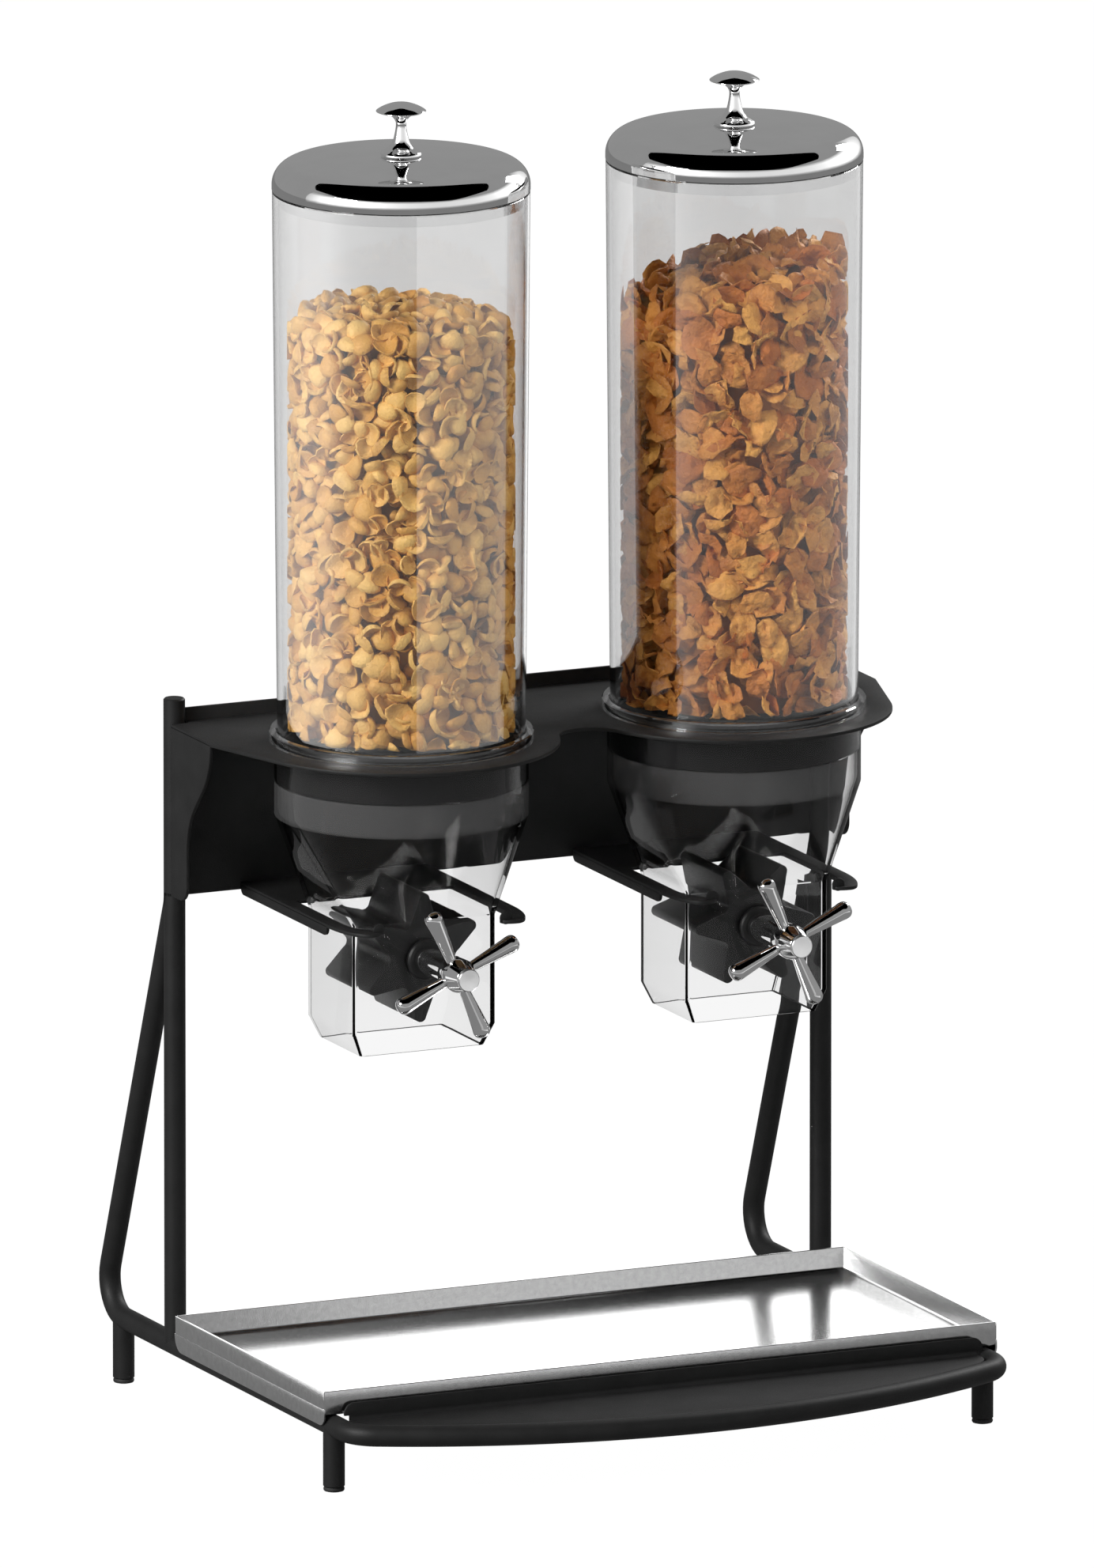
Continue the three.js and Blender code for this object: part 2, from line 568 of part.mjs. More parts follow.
/** Pressed lid: flat edge on the canister, round shoulder, shallow dome, centring ring inside. */
function lidGeometry() {
  const holeR = 3;
  const shoulderR = 12.5;
  const shoulderZ = LID_BOTTOM_Z + 3;
  const domeEdgeR = LID_R - shoulderR;
  const domeEdgeZ = shoulderZ + shoulderR;
  const domeZ = (r, drop) => domeEdgeZ + (LID_APEX_Z - domeEdgeZ) * (1 - (r / domeEdgeR) ** 2) - drop;
  const ringR = CANISTER_TOP_R - CANISTER_WALL - 0.8;
  const ringZ = LID_BOTTOM_Z - 7;
  const outside = [[LID_R, LID_BOTTOM_Z], [LID_R, shoulderZ]];
  const shoulderSteps = 4;
  for (let s = 1; s <= shoulderSteps; s += 1) {
    const turn = (Math.PI / 2) * (s / shoulderSteps);
    outside.push([domeEdgeR + shoulderR * Math.cos(turn), shoulderZ + shoulderR * Math.sin(turn)]);
  }
  const domeMidR = 36;
  outside.push([domeMidR, domeZ(domeMidR, 0)], [holeR, domeZ(holeR, 0)]);
  const inside = [[holeR, domeZ(holeR, LID_T)], [domeMidR, domeZ(domeMidR, LID_T)]];
  inside.push([domeEdgeR, domeEdgeZ - LID_T], [ringR - LID_T, shoulderZ + 6], [ringR - LID_T, ringZ]);
  inside.push([ringR, ringZ], [ringR, LID_BOTTOM_Z]);
  return turnedRing([...outside, ...inside], BIG_ROUND);
}

/** Turned knob: flared foot, thin waist, mushroom cap, with a blind hole for its screw. */
function knobGeometry() {
  const screwR = 2.3;
  const screwDepth = 7;
  return turned([
    [0, KNOB_BASE_Z + screwDepth], [screwR, KNOB_BASE_Z + screwDepth], [screwR, KNOB_BASE_Z],
    [11.3, KNOB_BASE_Z + 0.2], [11.0, KNOB_BASE_Z + 1.4], [6.2, KNOB_BASE_Z + 4.6],
    [4.1, KNOB_BASE_Z + 9], [2.9, KNOB_BASE_Z + 15.5], [3.4, KNOB_BASE_Z + 19.2], [6.5, KNOB_BASE_Z + 22.3],
    [13.7, KNOB_BASE_Z + 24.1], [10.2, KNOB_BASE_Z + 26.6], [5.4, KNOB_BASE_Z + 28.4], [0, KNOB_TOP_Z],
  ], SMALL_ROUND);
}

function knobScrewGeometry() {
  const headTop = LID_APEX_Z - LID_T - GAP - 0.1;
  return turned([
    [0, headTop - 3], [3.6, headTop - 3], [4.2, headTop - 2], [4.2, headTop],
    [2, headTop], [2, KNOB_BASE_Z + 6], [0, KNOB_BASE_Z + 6],
  ], SMALL_ROUND);
}

/** One-piece clear funnel: rim on the shelf, cup for the canister, round-to-square cone, neck and chute. */
function funnelGeometry() {
  const perCorner = BIG_ROUND / 4;
  const circle = (r, z) => roundedRing(r, r, r, z, perCorner);
  const square = (half, inset, corner, z) =>
    roundedRing(half.x - inset, half.y - inset, corner, z, perCorner);
  const outside = [
    square(CHUTE_HALF, 0, 3, CHUTE_BOTTOM_Z),
    square(NECK_HALF, 0, 3, CHUTE_TOP_Z),
    square(NECK_HALF, 0, 3, NECK_TOP_Z),
    circle(FUNNEL_R, LOFT_TOP_Z),
    circle(FUNNEL_R, SHELF_TOP_Z + GAP),
    circle(FUNNEL_RIM_R, SHELF_TOP_Z + GAP),
    circle(FUNNEL_RIM_R, FUNNEL_RIM_TOP_Z),
  ];
  const inside = [
    circle(FUNNEL_BORE_R, FUNNEL_RIM_TOP_Z),
    circle(FUNNEL_BORE_R, FUNNEL_LEDGE_Z),
    circle(FUNNEL_THROAT_R, FUNNEL_LEDGE_Z),
    circle(FUNNEL_THROAT_R, LOFT_TOP_Z + 2),
    square(NECK_HALF, NECK_WALL, 1.5, NECK_TOP_Z + 0.5),
    square(NECK_HALF, NECK_WALL, 1.5, CHUTE_TOP_Z + 0.5),
    square(CHUTE_HALF, NECK_WALL, 1.5, CHUTE_BOTTOM_Z),
  ];
  const moulding = skin([...outside, ...inside], true);
  const bore = facingFront(turned([[0, -60], [BUSH_HOLE_R, -60], [BUSH_HOLE_R, 60], [0, 60]], SMALL_ROUND));
  return cut(moulding, bore.translate(0, 0, AXLE_Z));
}

/** Black collar on the funnel's inner ledge; the canister stands on it. */
function sealGeometry() {
  const low = FUNNEL_LEDGE_Z + GAP;
  const outer = FUNNEL_BORE_R - GAP - 0.1;
  const inner = FUNNEL_THROAT_R - 2;
  return turnedRing([[outer, low], [outer, SEAL_TOP_Z], [inner, SEAL_TOP_Z], [inner, low]], BIG_ROUND);
}

/** The fill: a plain column with an uneven top, given as a height for each point of the rim and middle. */
function cerealGeometry(rimZ, middleZ) {
  const count = 24;
  const ring = (radius, height) => Array.from({ length: count }, (_, k) => {
    const turn = (2 * Math.PI * k) / count;
    return new THREE.Vector3(radius * Math.cos(turn), radius * Math.sin(turn), height(turn));
  });
  return skin([
    ring(CEREAL_R, () => CEREAL_BOTTOM_Z),
    ring(CEREAL_R, rimZ),
    ring(CEREAL_R / 2, (turn) => (rimZ(turn) + middleZ) / 2 + 3),
    ring(2, () => middleZ),
  ], false);
}

const fills = {
  left: { material: PALE_CEREAL, rimZ: (turn) => 622 - 3 * Math.cos(turn), middleZ: 633 },
  right: { material: AMBER_CEREAL, rimZ: (turn) => 627 + 14 * Math.cos(turn), middleZ: 634 },
};

// ---------------------------------------------------------------- metering wheel and handle

/** Star-shaped rubber wheel, drawn across its axle and extruded along it. */
function wheelShape() {
  const tipR = 3.2;
  const valleyR = 4;
  const step = (2 * Math.PI) / PADDLES;
  const sweep = THREE.MathUtils.degToRad(60); // half of what each round tip or valley turns
  const shape = new THREE.Shape();
  for (let paddle = 0; paddle < PADDLES; paddle += 1) {
    const tip = paddle * step;
    const valley = tip + step / 2;
    const tipAt = WHEEL_R - tipR;
    const valleyAt = WHEEL_VALLEY_R + valleyR;
    shape.absarc(tipAt * Math.cos(tip), tipAt * Math.sin(tip), tipR, tip - sweep, tip + sweep, false);
    shape.absarc(valleyAt * Math.cos(valley), valleyAt * Math.sin(valley), valleyR,
      valley + Math.PI + sweep, valley + Math.PI - sweep, true);
  }
  shape.closePath();
  const bore = new THREE.Path();
  bore.absarc(0, 0, AXLE_R + 0.4, 0, 2 * Math.PI, true);
  shape.holes.push(bore);
  return shape;
}

/** Pieces that turn on one axle are drawn about it and then moved to the axle's height. */
const atAxle = (geometry) => geometry.translate(0, 0, AXLE_Z);

/** A turned piece on the axle: profile points are [radius, distance in front of Y = 0]. */
const onAxle = (profile, segments, ring) =>
  atAxle(facingFront(ring ? turnedRing(profile, segments) : turned(profile, segments)));

function spokeGeometry(turn) {
  const spoke = turned([
    [0, SPOKE_ROOT], [2.8, SPOKE_ROOT], [4.9, SPOKE_REACH - 5], [4.5, SPOKE_REACH - 2.2],
    [2.8, SPOKE_REACH - 0.6], [0, SPOKE_REACH],
  ], SPOKE_SIDES);
  return atAxle(spoke.rotateY(Math.PI / 2 - turn).translate(0, SPOKE_PLANE_Y, 0));
}

function addHandle(group, side) {
  const neckFront = -(AXIS_Y - NECK_HALF.y);
  const neckRear = AXIS_Y + NECK_HALF.y;
  const hubRear = neckFront + GAP + 3 + GAP;
  const hubFront = -HANDLE_FRONT_Y - 2.4 - GAP;
  const spokeAt = -SPOKE_PLANE_Y;
  const bore = AXLE_R + 0.4;
  const axleFront = spokeAt - 4;
  const bushR = BUSH_HOLE_R - GAP - 0.1;

  add(group, `axle_${side}`, onAxle([
    [0, -neckRear - 2], [AXLE_R, -neckRear - 2], [AXLE_R, axleFront], [0, axleFront],
  ], SMALL_ROUND, false), STEEL);
  add(group, `front_bush_${side}`, onAxle([
    [bore, neckFront - NECK_WALL - 0.4], [bushR, neckFront - NECK_WALL - 0.4], [bushR, neckFront + GAP],
    [11.3, neckFront + GAP], [11.3, neckFront + GAP + 3], [bore, neckFront + GAP + 3],
  ], SMALL_ROUND, true), BUSH_PLASTIC);
  add(group, `rear_bush_${side}`, onAxle([
    [bore, -neckRear - 3], [9, -neckRear - 3], [9, -neckRear - GAP], [bushR, -neckRear - GAP],
    [bushR, -neckRear + NECK_WALL + 0.4], [bore, -neckRear + NECK_WALL + 0.4],
  ], SMALL_ROUND, true), BUSH_PLASTIC);
  add(group, `handle_hub_${side}`, onAxle([
    [0, axleFront + GAP], [bore, axleFront + GAP], [bore, hubRear], [8, hubRear], [7.4, spokeAt - 8],
    [8.6, spokeAt - 5], [8.9, spokeAt + 4], [6.2, hubFront], [0, hubFront],
  ], SMALL_ROUND, false), CHROME);
  add(group, `handle_cap_${side}`, onAxle([
    [0, hubFront + GAP], [6.3, hubFront + GAP], [6.3, -HANDLE_FRONT_Y - 0.5], [5.8, -HANDLE_FRONT_Y],
    [0, -HANDLE_FRONT_Y],
  ], SMALL_ROUND, false), SATIN_CHROME);
  for (let spoke = 0; spoke < SPOKES; spoke += 1) {
    const turn = THREE.MathUtils.degToRad(SPOKE_ANGLE_DEG) + (2 * Math.PI * spoke) / SPOKES;
    add(group, `spoke_${spoke + 1}_${side}`, spokeGeometry(turn), CHROME);
  }
}

const wheelTurnDeg = { left: 28, right: 0 };

for (const [side, sign] of Object.entries(sides)) {
  const dispenser = new THREE.Group();
  dispenser.position.set(sign * AXIS_X, AXIS_Y, 0);
  root.add(dispenser);
  add(dispenser, `canister_${side}`, canisterGeometry(), ACRYLIC);
  add(dispenser, `lid_${side}`, lidGeometry(), CHROME);
  add(dispenser, `lid_knob_${side}`, knobGeometry(), CHROME);
  add(dispenser, `knob_screw_${side}`, knobScrewGeometry(), STEEL);
  add(dispenser, `funnel_${side}`, funnelGeometry(), POLYCARBONATE);
  add(dispenser, `canister_seal_${side}`, sealGeometry(), SEAL_RUBBER);
  const fill = fills[side];
  add(dispenser, `cereal_${side}`, cerealGeometry(fill.rimZ, fill.middleZ), fill.material);
  const wheel = frontPlate(wheelShape(), -WHEEL_HALF_LENGTH, WHEEL_HALF_LENGTH, 4)
    .rotateY(-THREE.MathUtils.degToRad(wheelTurnDeg[side]));
  add(dispenser, `paddle_wheel_${side}`, atAxle(wheel), WHEEL_RUBBER);

  const onFrame = new THREE.Group();
  onFrame.position.set(sign * AXIS_X, 0, 0);
  root.add(onFrame);
  add(onFrame, `bracket_${side}`, bracketGeometry(), POWDER_COAT);
  addHandle(onFrame, side);
}

export default root;
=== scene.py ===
"""Looks for the two-canister cereal dispenser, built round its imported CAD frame."""

import json
import math
import random

import bmesh
import bpy
import numpy as np
from mathutils import Matrix, Vector, noise

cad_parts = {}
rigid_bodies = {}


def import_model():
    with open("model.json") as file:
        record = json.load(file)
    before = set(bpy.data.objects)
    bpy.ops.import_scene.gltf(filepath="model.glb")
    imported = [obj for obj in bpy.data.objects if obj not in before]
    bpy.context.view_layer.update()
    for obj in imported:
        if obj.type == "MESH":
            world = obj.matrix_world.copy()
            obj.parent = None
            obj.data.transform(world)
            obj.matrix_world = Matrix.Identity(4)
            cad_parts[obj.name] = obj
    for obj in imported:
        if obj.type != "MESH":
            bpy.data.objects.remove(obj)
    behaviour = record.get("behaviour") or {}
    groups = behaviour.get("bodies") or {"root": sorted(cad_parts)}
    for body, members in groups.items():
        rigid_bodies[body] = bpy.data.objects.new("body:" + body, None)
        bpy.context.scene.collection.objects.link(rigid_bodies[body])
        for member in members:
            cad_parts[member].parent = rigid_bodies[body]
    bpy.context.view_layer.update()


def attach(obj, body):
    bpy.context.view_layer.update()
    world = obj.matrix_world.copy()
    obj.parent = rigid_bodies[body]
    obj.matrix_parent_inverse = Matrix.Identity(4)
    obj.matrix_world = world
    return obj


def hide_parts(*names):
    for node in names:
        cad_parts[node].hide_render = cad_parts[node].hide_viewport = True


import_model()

# -------- dimensions, in millimetres

MM = 0.001
SIDES = {"left": -1, "right": 1}
GAP = 0.3

# Rod stand
ROD_R = 6.0
SIDE_X = 195.0
POST_Y = 100.2
POST_TOP_Z = 400.0
BEND_Z = 286.0
RUN_Z = 36.5
REAR_CORNER_Y = 197.9
SIDE_BEND_R = 20.0
BOW_R = 400.0
BOW_FRONT_Y = -188.7
BOW_CORNER_R = 22.0
BOW_CENTRE_Y = BOW_FRONT_Y + BOW_R
BOW_CORNER_X = SIDE_X - BOW_CORNER_R
BOW_CORNER_Y = BOW_CENTRE_Y - math.sqrt((BOW_R - BOW_CORNER_R) ** 2 - BOW_CORNER_X**2)
BOW_JOINT = math.degrees(math.asin(BOW_CORNER_X / (BOW_R - BOW_CORNER_R)))
FOOT_YS = {"front": -112.5, "rear": 170.1}
GLIDE_H = 2.5

# Sheet metal
SHEET_T = 2.0
SHELF_TOP_Z = 386.8
SHELF_HALF_X = 200.0
SHELF_CORNER_Y = 39.2
SCALLOP_R = 87.0
FILLET_R = 18.5
FILLET_Y = -25.5
SHELF_HOLE_R = 70.4
GUSSET_NARROW_Y = 73.0
PANEL_BOTTOM_Z = 289.0
PANEL_TOP_Z = 394.0
BRACKET_TOP_Z = 293.3
BRACKET_HALF_X = 56.0
SLOT_HALF_X = 47.4
FLANGE_Z = 286.5
FLANGE_Y = -16.2
FINGER_Y = -50.2
FINGER_TIP_X = 35.0
FRONT_PLATE_Z = 39.0
FRONT_PLATE_T = 1.5
FRONT_LIP_Y = -118.2
FRONT_LIP_TOP_Z = 50.0
FRONT_LIP_HALF_X = 191.8

# Where the sheets stop short of the posts and of the rear panel
BESIDE_POST_X = SIDE_X - ROD_R - GAP
BEFORE_POST_Y = POST_Y - ROD_R - GAP
BEFORE_PANEL_Y = POST_Y - SHEET_T / 2 - GAP

# Tray
TRAY_HALF_X = 202.5
TRAY_FRONT_Y = -115.6
TRAY_REAR_Y = 84.4
TRAY_TOP_Z = 56.7
TRAY_SKIRT_Z = 37.0
TRAY_FLOOR_Z = 42.8
TRAY_T = 1.2

# Dispensers
AXIS_X = 100.0
AXIS_Y = 8.1
CANISTER_BOTTOM_Z = 386.0
CANISTER_TOP_Z = 693.7
CANISTER_BOTTOM_R = 68.0
CANISTER_TOP_R = 70.5
CANISTER_WALL = 3.0
LID_BOTTOM_Z = 694.0
LID_R = 70.7
LID_APEX_Z = 712.9
LID_T = 1.2
KNOB_BASE_Z = 713.4
FUNNEL_RIM_R = 72.5
FUNNEL_RIM_TOP_Z = 392.8
FUNNEL_R = 69.7
BORE_R = 68.5
LEDGE_Z = 364.7
THROAT_R = 66.3
LOFT_TOP_Z = 346.0
NECK_TOP_Z = 291.0
CHUTE_TOP_Z = 230.0
CHUTE_BOTTOM_Z = 218.0
NECK_X, NECK_Y = 42.65, 31.7
CHUTE_X, CHUTE_Y = 37.2, 28.7
NECK_WALL = 2.3
SEAL_TOP_Z = 385.6

# Metering wheel and handle
AXLE_Z = 270.0
AXLE_R = 4.0
WHEEL_R = 36.0
WHEEL_VALLEY_R = 19.5
WHEEL_HALF_LENGTH = 28.2
PADDLES = 6
SPOKE_PLANE_Y = -66.2
SPOKE_REACH = 39.3
SPOKE_ROOT = 8.0
SPOKES = 4
SPOKE_ANGLE = 24.0
HANDLE_FRONT = 82.0
WHEEL_TURN = {"left": 28.0, "right": 0.0}

# Cereal: two layers of dough pieces against the wall and a heap on top, round a darker core whose
# colour is painted shade for the gaps between the pieces
CEREAL_R = 62.4
CEREAL_BOTTOM_Z = 393.3
OUTER_LAYER_R = 58.5
INNER_LAYER_R = 53.5
INNER_LOOSENESS = 1.15
CORE_R = 51.0
CORE_DEPTH = 7.0
FILL_LIMIT_Z = 660.0
LYING_R = 40.0  # nearer the axis than this the pieces lie flat
AROUND = 12  # points round a dough piece
KINDS = 14

# -------- shapes

# A shape is (points, faces), with the points in millimetres.


def skin(rings, loop=False):
    """Joins rings of as many points each; the ends are capped unless the last ring joins the first."""
    count = len(rings[0])
    points = [p for ring in rings for p in ring]
    faces = []
    for r in range(len(rings) if loop else len(rings) - 1):
        low, high = r * count, (r + 1) % len(rings) * count
        for k in range(count):
            on = (k + 1) % count
            faces.append((low + k, low + on, high + on, high + k))
    if not loop:
        faces.append(tuple(range(count))[::-1])
        faces.append(tuple(range(len(points) - count, len(points))))
    return points, faces


def polar(radius, turn):
    return radius * math.cos(turn), radius * math.sin(turn)


def circle_turns(count):
    """The angles of evenly spaced points round a circle."""
    return [2 * math.pi * k / count for k in range(count)]


def turned(profile, segments=96, loop=False):
    """A profile of (radius, height) turned about Z."""
    turns = circle_turns(segments)
    return skin([[(*polar(r, t), z) for t in turns] for r, z in profile], loop)


def smooth_line(points):
    """Catmull-Rom curve through 2-D points."""
    steps = 5
    line = []
    for i in range(len(points) - 1):
        near = (points[max(i - 1, 0)], points[i], points[i + 1], points[min(i + 2, len(points) - 1)])
        a, b, c, d = (Vector(p) for p in near)
        for s in range(steps):
            t = s / steps
            square = (2 * a - 5 * b + 4 * c - d) * t * t
            cube = (3 * b - a - 3 * c + d) * t**3
            line.append(0.5 * (2 * b + (c - a) * t + square + cube))
    line.append(Vector(points[-1]))
    return line


def arc(centre, radius, start, end, steps=16):
    """Points on an arc, from one angle to the other, in degrees."""
    turns = [math.radians(start + (end - start) * s / steps) for s in range(steps + 1)]
    x, y = centre
    return [(x + radius * math.cos(t), y + radius * math.sin(t)) for t in turns]


def bezier(a, b, c, d, steps=14):
    """Points on a cubic Bezier curve, without its first."""
    points = []
    for s in range(1, steps + 1):
        t = s / steps
        u = 1 - t
        pairs = list(zip((u**3, 3 * u * u * t, 3 * u * t * t, t**3), (a, b, c, d)))
        points.append(tuple(sum(w * p[i] for w, p in pairs) for i in (0, 1)))
    return points


def moved(shape, matrix):
    points, faces = shape
    return [tuple(matrix @ Vector(p)) for p in points], faces


def shifted(shape, x=0.0, y=0.0, z=0.0):
    return moved(shape, Matrix.Translation((x, y, z)))


# What a flat outline's own X, Y and thickness become.
FLAT = Matrix.Identity(4)
SIDEWAYS = Matrix(((0, 0, 1, 0), (1, 0, 0, 0), (0, 1, 0, 0), (0, 0, 0, 1)))
UPRIGHT = Matrix(((1, 0, 0, 0), (0, 0, -1, 0), (0, 1, 0, 0), (0, 0, 0, 1)))
FACING_FRONT = Matrix.Rotation(math.pi / 2, 4, "X")


def sheet(outlines, low, high, lie=FLAT, edge=0.35):
    """A plate cut to an outline and its holes, from low to high, with broken edges."""
    bm = bmesh.new()
    edges = []
    for outline in outlines:
        verts = [bm.verts.new((u, v, low)) for u, v in outline]
        edges += [bm.edges.new((verts[i - 1], verts[i])) for i in range(len(verts))]
    bmesh.ops.triangle_fill(bm, use_beauty=True, use_dissolve=False, edges=edges)
    made = bmesh.ops.extrude_face_region(bm, geom=bm.faces[:])["geom"]
    raised = [g for g in made if isinstance(g, bmesh.types.BMVert)]
    bmesh.ops.translate(bm, vec=(0, 0, high - low), verts=raised)
    bmesh.ops.recalc_face_normals(bm, faces=bm.faces)
    if edge:
        corners = [
            e for e in bm.edges
            if len(e.link_faces) == 2 and e.calc_face_angle() > math.radians(60)
        ]
        bmesh.ops.bevel(bm, geom=corners, offset=edge, segments=2, affect="EDGES", profile=0.5)
    bm.verts.index_update()
    points = [tuple(lie @ v.co) for v in bm.verts]
    faces = [tuple(v.index for v in f.verts) for f in bm.faces]
    bm.free()
    return points, faces


def wall(outlines, sign, outer_x, thickness, edge=0.35):
    """A sheet across X, to the left or right, with its outer face at outer_x."""
    low, high = sorted((sign * (outer_x - thickness), sign * outer_x))
    return sheet(outlines, low, high, SIDEWAYS, edge)


def tube(path, radius):
    """A round rod along a path of 3-D points, its ends slightly rounded."""
    turns = circle_turns(28)
    round_end = 0.8
    path = [Vector(p) for p in path]
    ends = [(path[1] - path[0]).normalized(), (path[-1] - path[-2]).normalized()]
    stations = [(path[0], radius - round_end), (path[0] + ends[0] * round_end, radius)]
    stations += [(p, radius) for p in path[1:-1]]
    stations += [(path[-1] - ends[1] * round_end, radius), (path[-1], radius - round_end)]
    across = ends[0].orthogonal().normalized()
    heading = ends[0]
    rings = []
    for i, (point, r) in enumerate(stations):
        ahead = stations[min(i + 1, len(stations) - 1)][0]
        behind = stations[max(i - 1, 0)][0]
        now = (ahead - behind).normalized()
        across = heading.rotation_difference(now) @ across
        heading = now
        other = heading.cross(across)
        rings.append([point + across * r * math.cos(t) + other * r * math.sin(t) for t in turns])
    return skin(rings)


def bent_line(corners, radius):
    """Straight runs between corners, each inner corner rounded."""
    steps = 12
    corners = [Vector(c) for c in corners]
    points = [corners[0]]
    for before, corner, after in zip(corners, corners[1:], corners[2:]):
        back, on = (before - corner).normalized(), (after - corner).normalized()
        half = back.angle(on) / 2
        centre = corner + (back + on).normalized() * radius / math.sin(half)
        start = corner + back * radius / math.tan(half) - centre
        end = corner + on * radius / math.tan(half) - centre
        axis = start.cross(end).normalized()
        for s in range(steps + 1):
            turn = Matrix.Rotation(start.angle(end) * s / steps, 3, axis)
            points.append(centre + turn @ start)
    return points + [corners[-1]]


def rounded_ring(half_x, half_y, radius, z, per_corner=24):
    """A level of a moulding: a rectangle with round corners, a circle at full radius."""
    ring = []
    for corner in range(4):
        sx = 1 if corner in (0, 3) else -1
        sy = 1 if corner < 2 else -1
        for k in range(per_corner):
            turn = (corner + (k + 0.5) / per_corner) * math.pi / 2
            x = sx * (half_x - radius) + radius * math.cos(turn)
            y = sy * (half_y - radius) + radius * math.sin(turn)
            ring.append((x, y, z))
    return ring


def between_rings(low, high, steps):
    """Rings on the straight lines from one ring to another, both left out."""
    return [
        [tuple(Vector(a).lerp(Vector(b), s / steps)) for a, b in zip(low, high)]
        for s in range(1, steps)
    ]


# -------- materials

# The funnel's plastic: how strongly its neck and cup bend light, and its finishes
NECK_BEND = 1.25
CUP_BEND = 1.02
FUNNEL_ABSORBS = 28.0
FROST = 0.04
RIM_SHINE = 0.16
LEAST_SHINE = 0.007


def node(tree, kind, inputs=(), **settings):
    """Adds a node; an input may be a value or another node's output."""
    made = tree.nodes.new("ShaderNode" + kind)
    for key, value in settings.items():
        setattr(made, key, value)
    for key, value in dict(inputs).items():
        if isinstance(value, bpy.types.NodeSocket):
            tree.links.new(value, made.inputs[key])
        else:
            made.inputs[key].default_value = value
    return made


def new_material(name):
    material = bpy.data.materials.new(name)
    material.use_nodes = True
    material.node_tree.nodes.clear()
    return material, material.node_tree


def maths(tree, operation, *values):
    return node(tree, "Math", dict(enumerate(values)), operation=operation).outputs[0]


def mixed(tree, share, shader, other):
    """A shader with a share of another over it."""
    return node(tree, "MixShader", {0: share, 1: shader, 2: other}).outputs[0]


def grain(tree, scale, detail=3.0):
    """Noise fixed to the piece, with its scale per metre."""
    place = node(tree, "TexCoord").outputs["Object"]
    made = node(tree, "TexNoise", {"Vector": place, "Scale": scale, "Detail": detail})
    return made.outputs["Fac"]


def spread_over(tree, value, low, high, source=(0.3, 0.7)):
    """Maps the middle of a noise, or another source range, to a range of values."""
    limits = {"From Min": source[0], "From Max": source[1], "To Min": low, "To Max": high}
    return node(tree, "MapRange", {"Value": value, **limits}).outputs["Result"]


def mix_colour(tree, factor, a, b):
    made = node(tree, "Mix", data_type="RGBA")
    colours = [s for s in made.inputs if s.type == "RGBA"]
    for socket, value in ((made.inputs[0], factor), (colours[0], a), (colours[1], b)):
        if isinstance(value, bpy.types.NodeSocket):
            tree.links.new(value, socket)
        else:
            socket.default_value = value
    return next(s for s in made.outputs if s.type == "RGBA")


def grey(level):
    return (level, level, level, 1.0)


def finish_opaque(tree, colour, roughness, relief, metallic=0.0, specular=0.5):
    inputs = {"Base Color": colour, "Roughness": roughness, "Metallic": metallic}
    inputs |= {"Specular IOR Level": specular, "Normal": relief.outputs["Normal"]}
    shader = node(tree, "BsdfPrincipled", inputs)
    node(tree, "OutputMaterial", {"Surface": shader.outputs["BSDF"]})


def surface(name, dark, light, rough, metallic=0.0, texture=900.0, bump=0.1, depth=0.0002,
            mottle=60.0, specular=0.5):
    """An opaque finish: colour mottled between two tones, roughness varied, fine relief."""
    material, tree = new_material(name)
    fine = grain(tree, texture)
    colour = mix_colour(tree, spread_over(tree, grain(tree, mottle, 4.0), 0, 1), dark, light)
    relief = node(tree, "Bump", {"Height": fine, "Strength": bump, "Distance": depth})
    roughness = spread_over(tree, fine, *rough)
    finish_opaque(tree, colour, roughness, relief, metallic, specular)
    return material


def finish_clear(tree, shader, absorbs):
    """Ends a clear material: lamps shine through it, and it dims light along its way inside."""
    path = node(tree, "LightPath").outputs
    lamp = maths(tree, "MAXIMUM", path["Is Shadow Ray"], path["Is Diffuse Ray"])
    open_way = node(tree, "BsdfTransparent", {"Color": grey(0.95)}).outputs[0]
    depth = node(tree, "VolumeAbsorption", {"Color": grey(0.2), "Density": absorbs}).outputs[0]
    both = mixed(tree, lamp, shader, open_way)
    node(tree, "OutputMaterial", {"Surface": both, "Volume": depth})


def clear_plastic(name, ior, tint, absorbs):
    """Clear moulded plastic with thick walls."""
    material, tree = new_material(name)
    cloud = spread_over(tree, grain(tree, 40.0), 0, 1)
    colour = mix_colour(tree, cloud, grey(tint - 0.006), grey(tint + 0.006))
    glass = node(tree, "BsdfGlass", {"Color": colour, "Roughness": 0.0, "IOR": ior})
    finish_clear(tree, glass.outputs[0], absorbs)
    return material


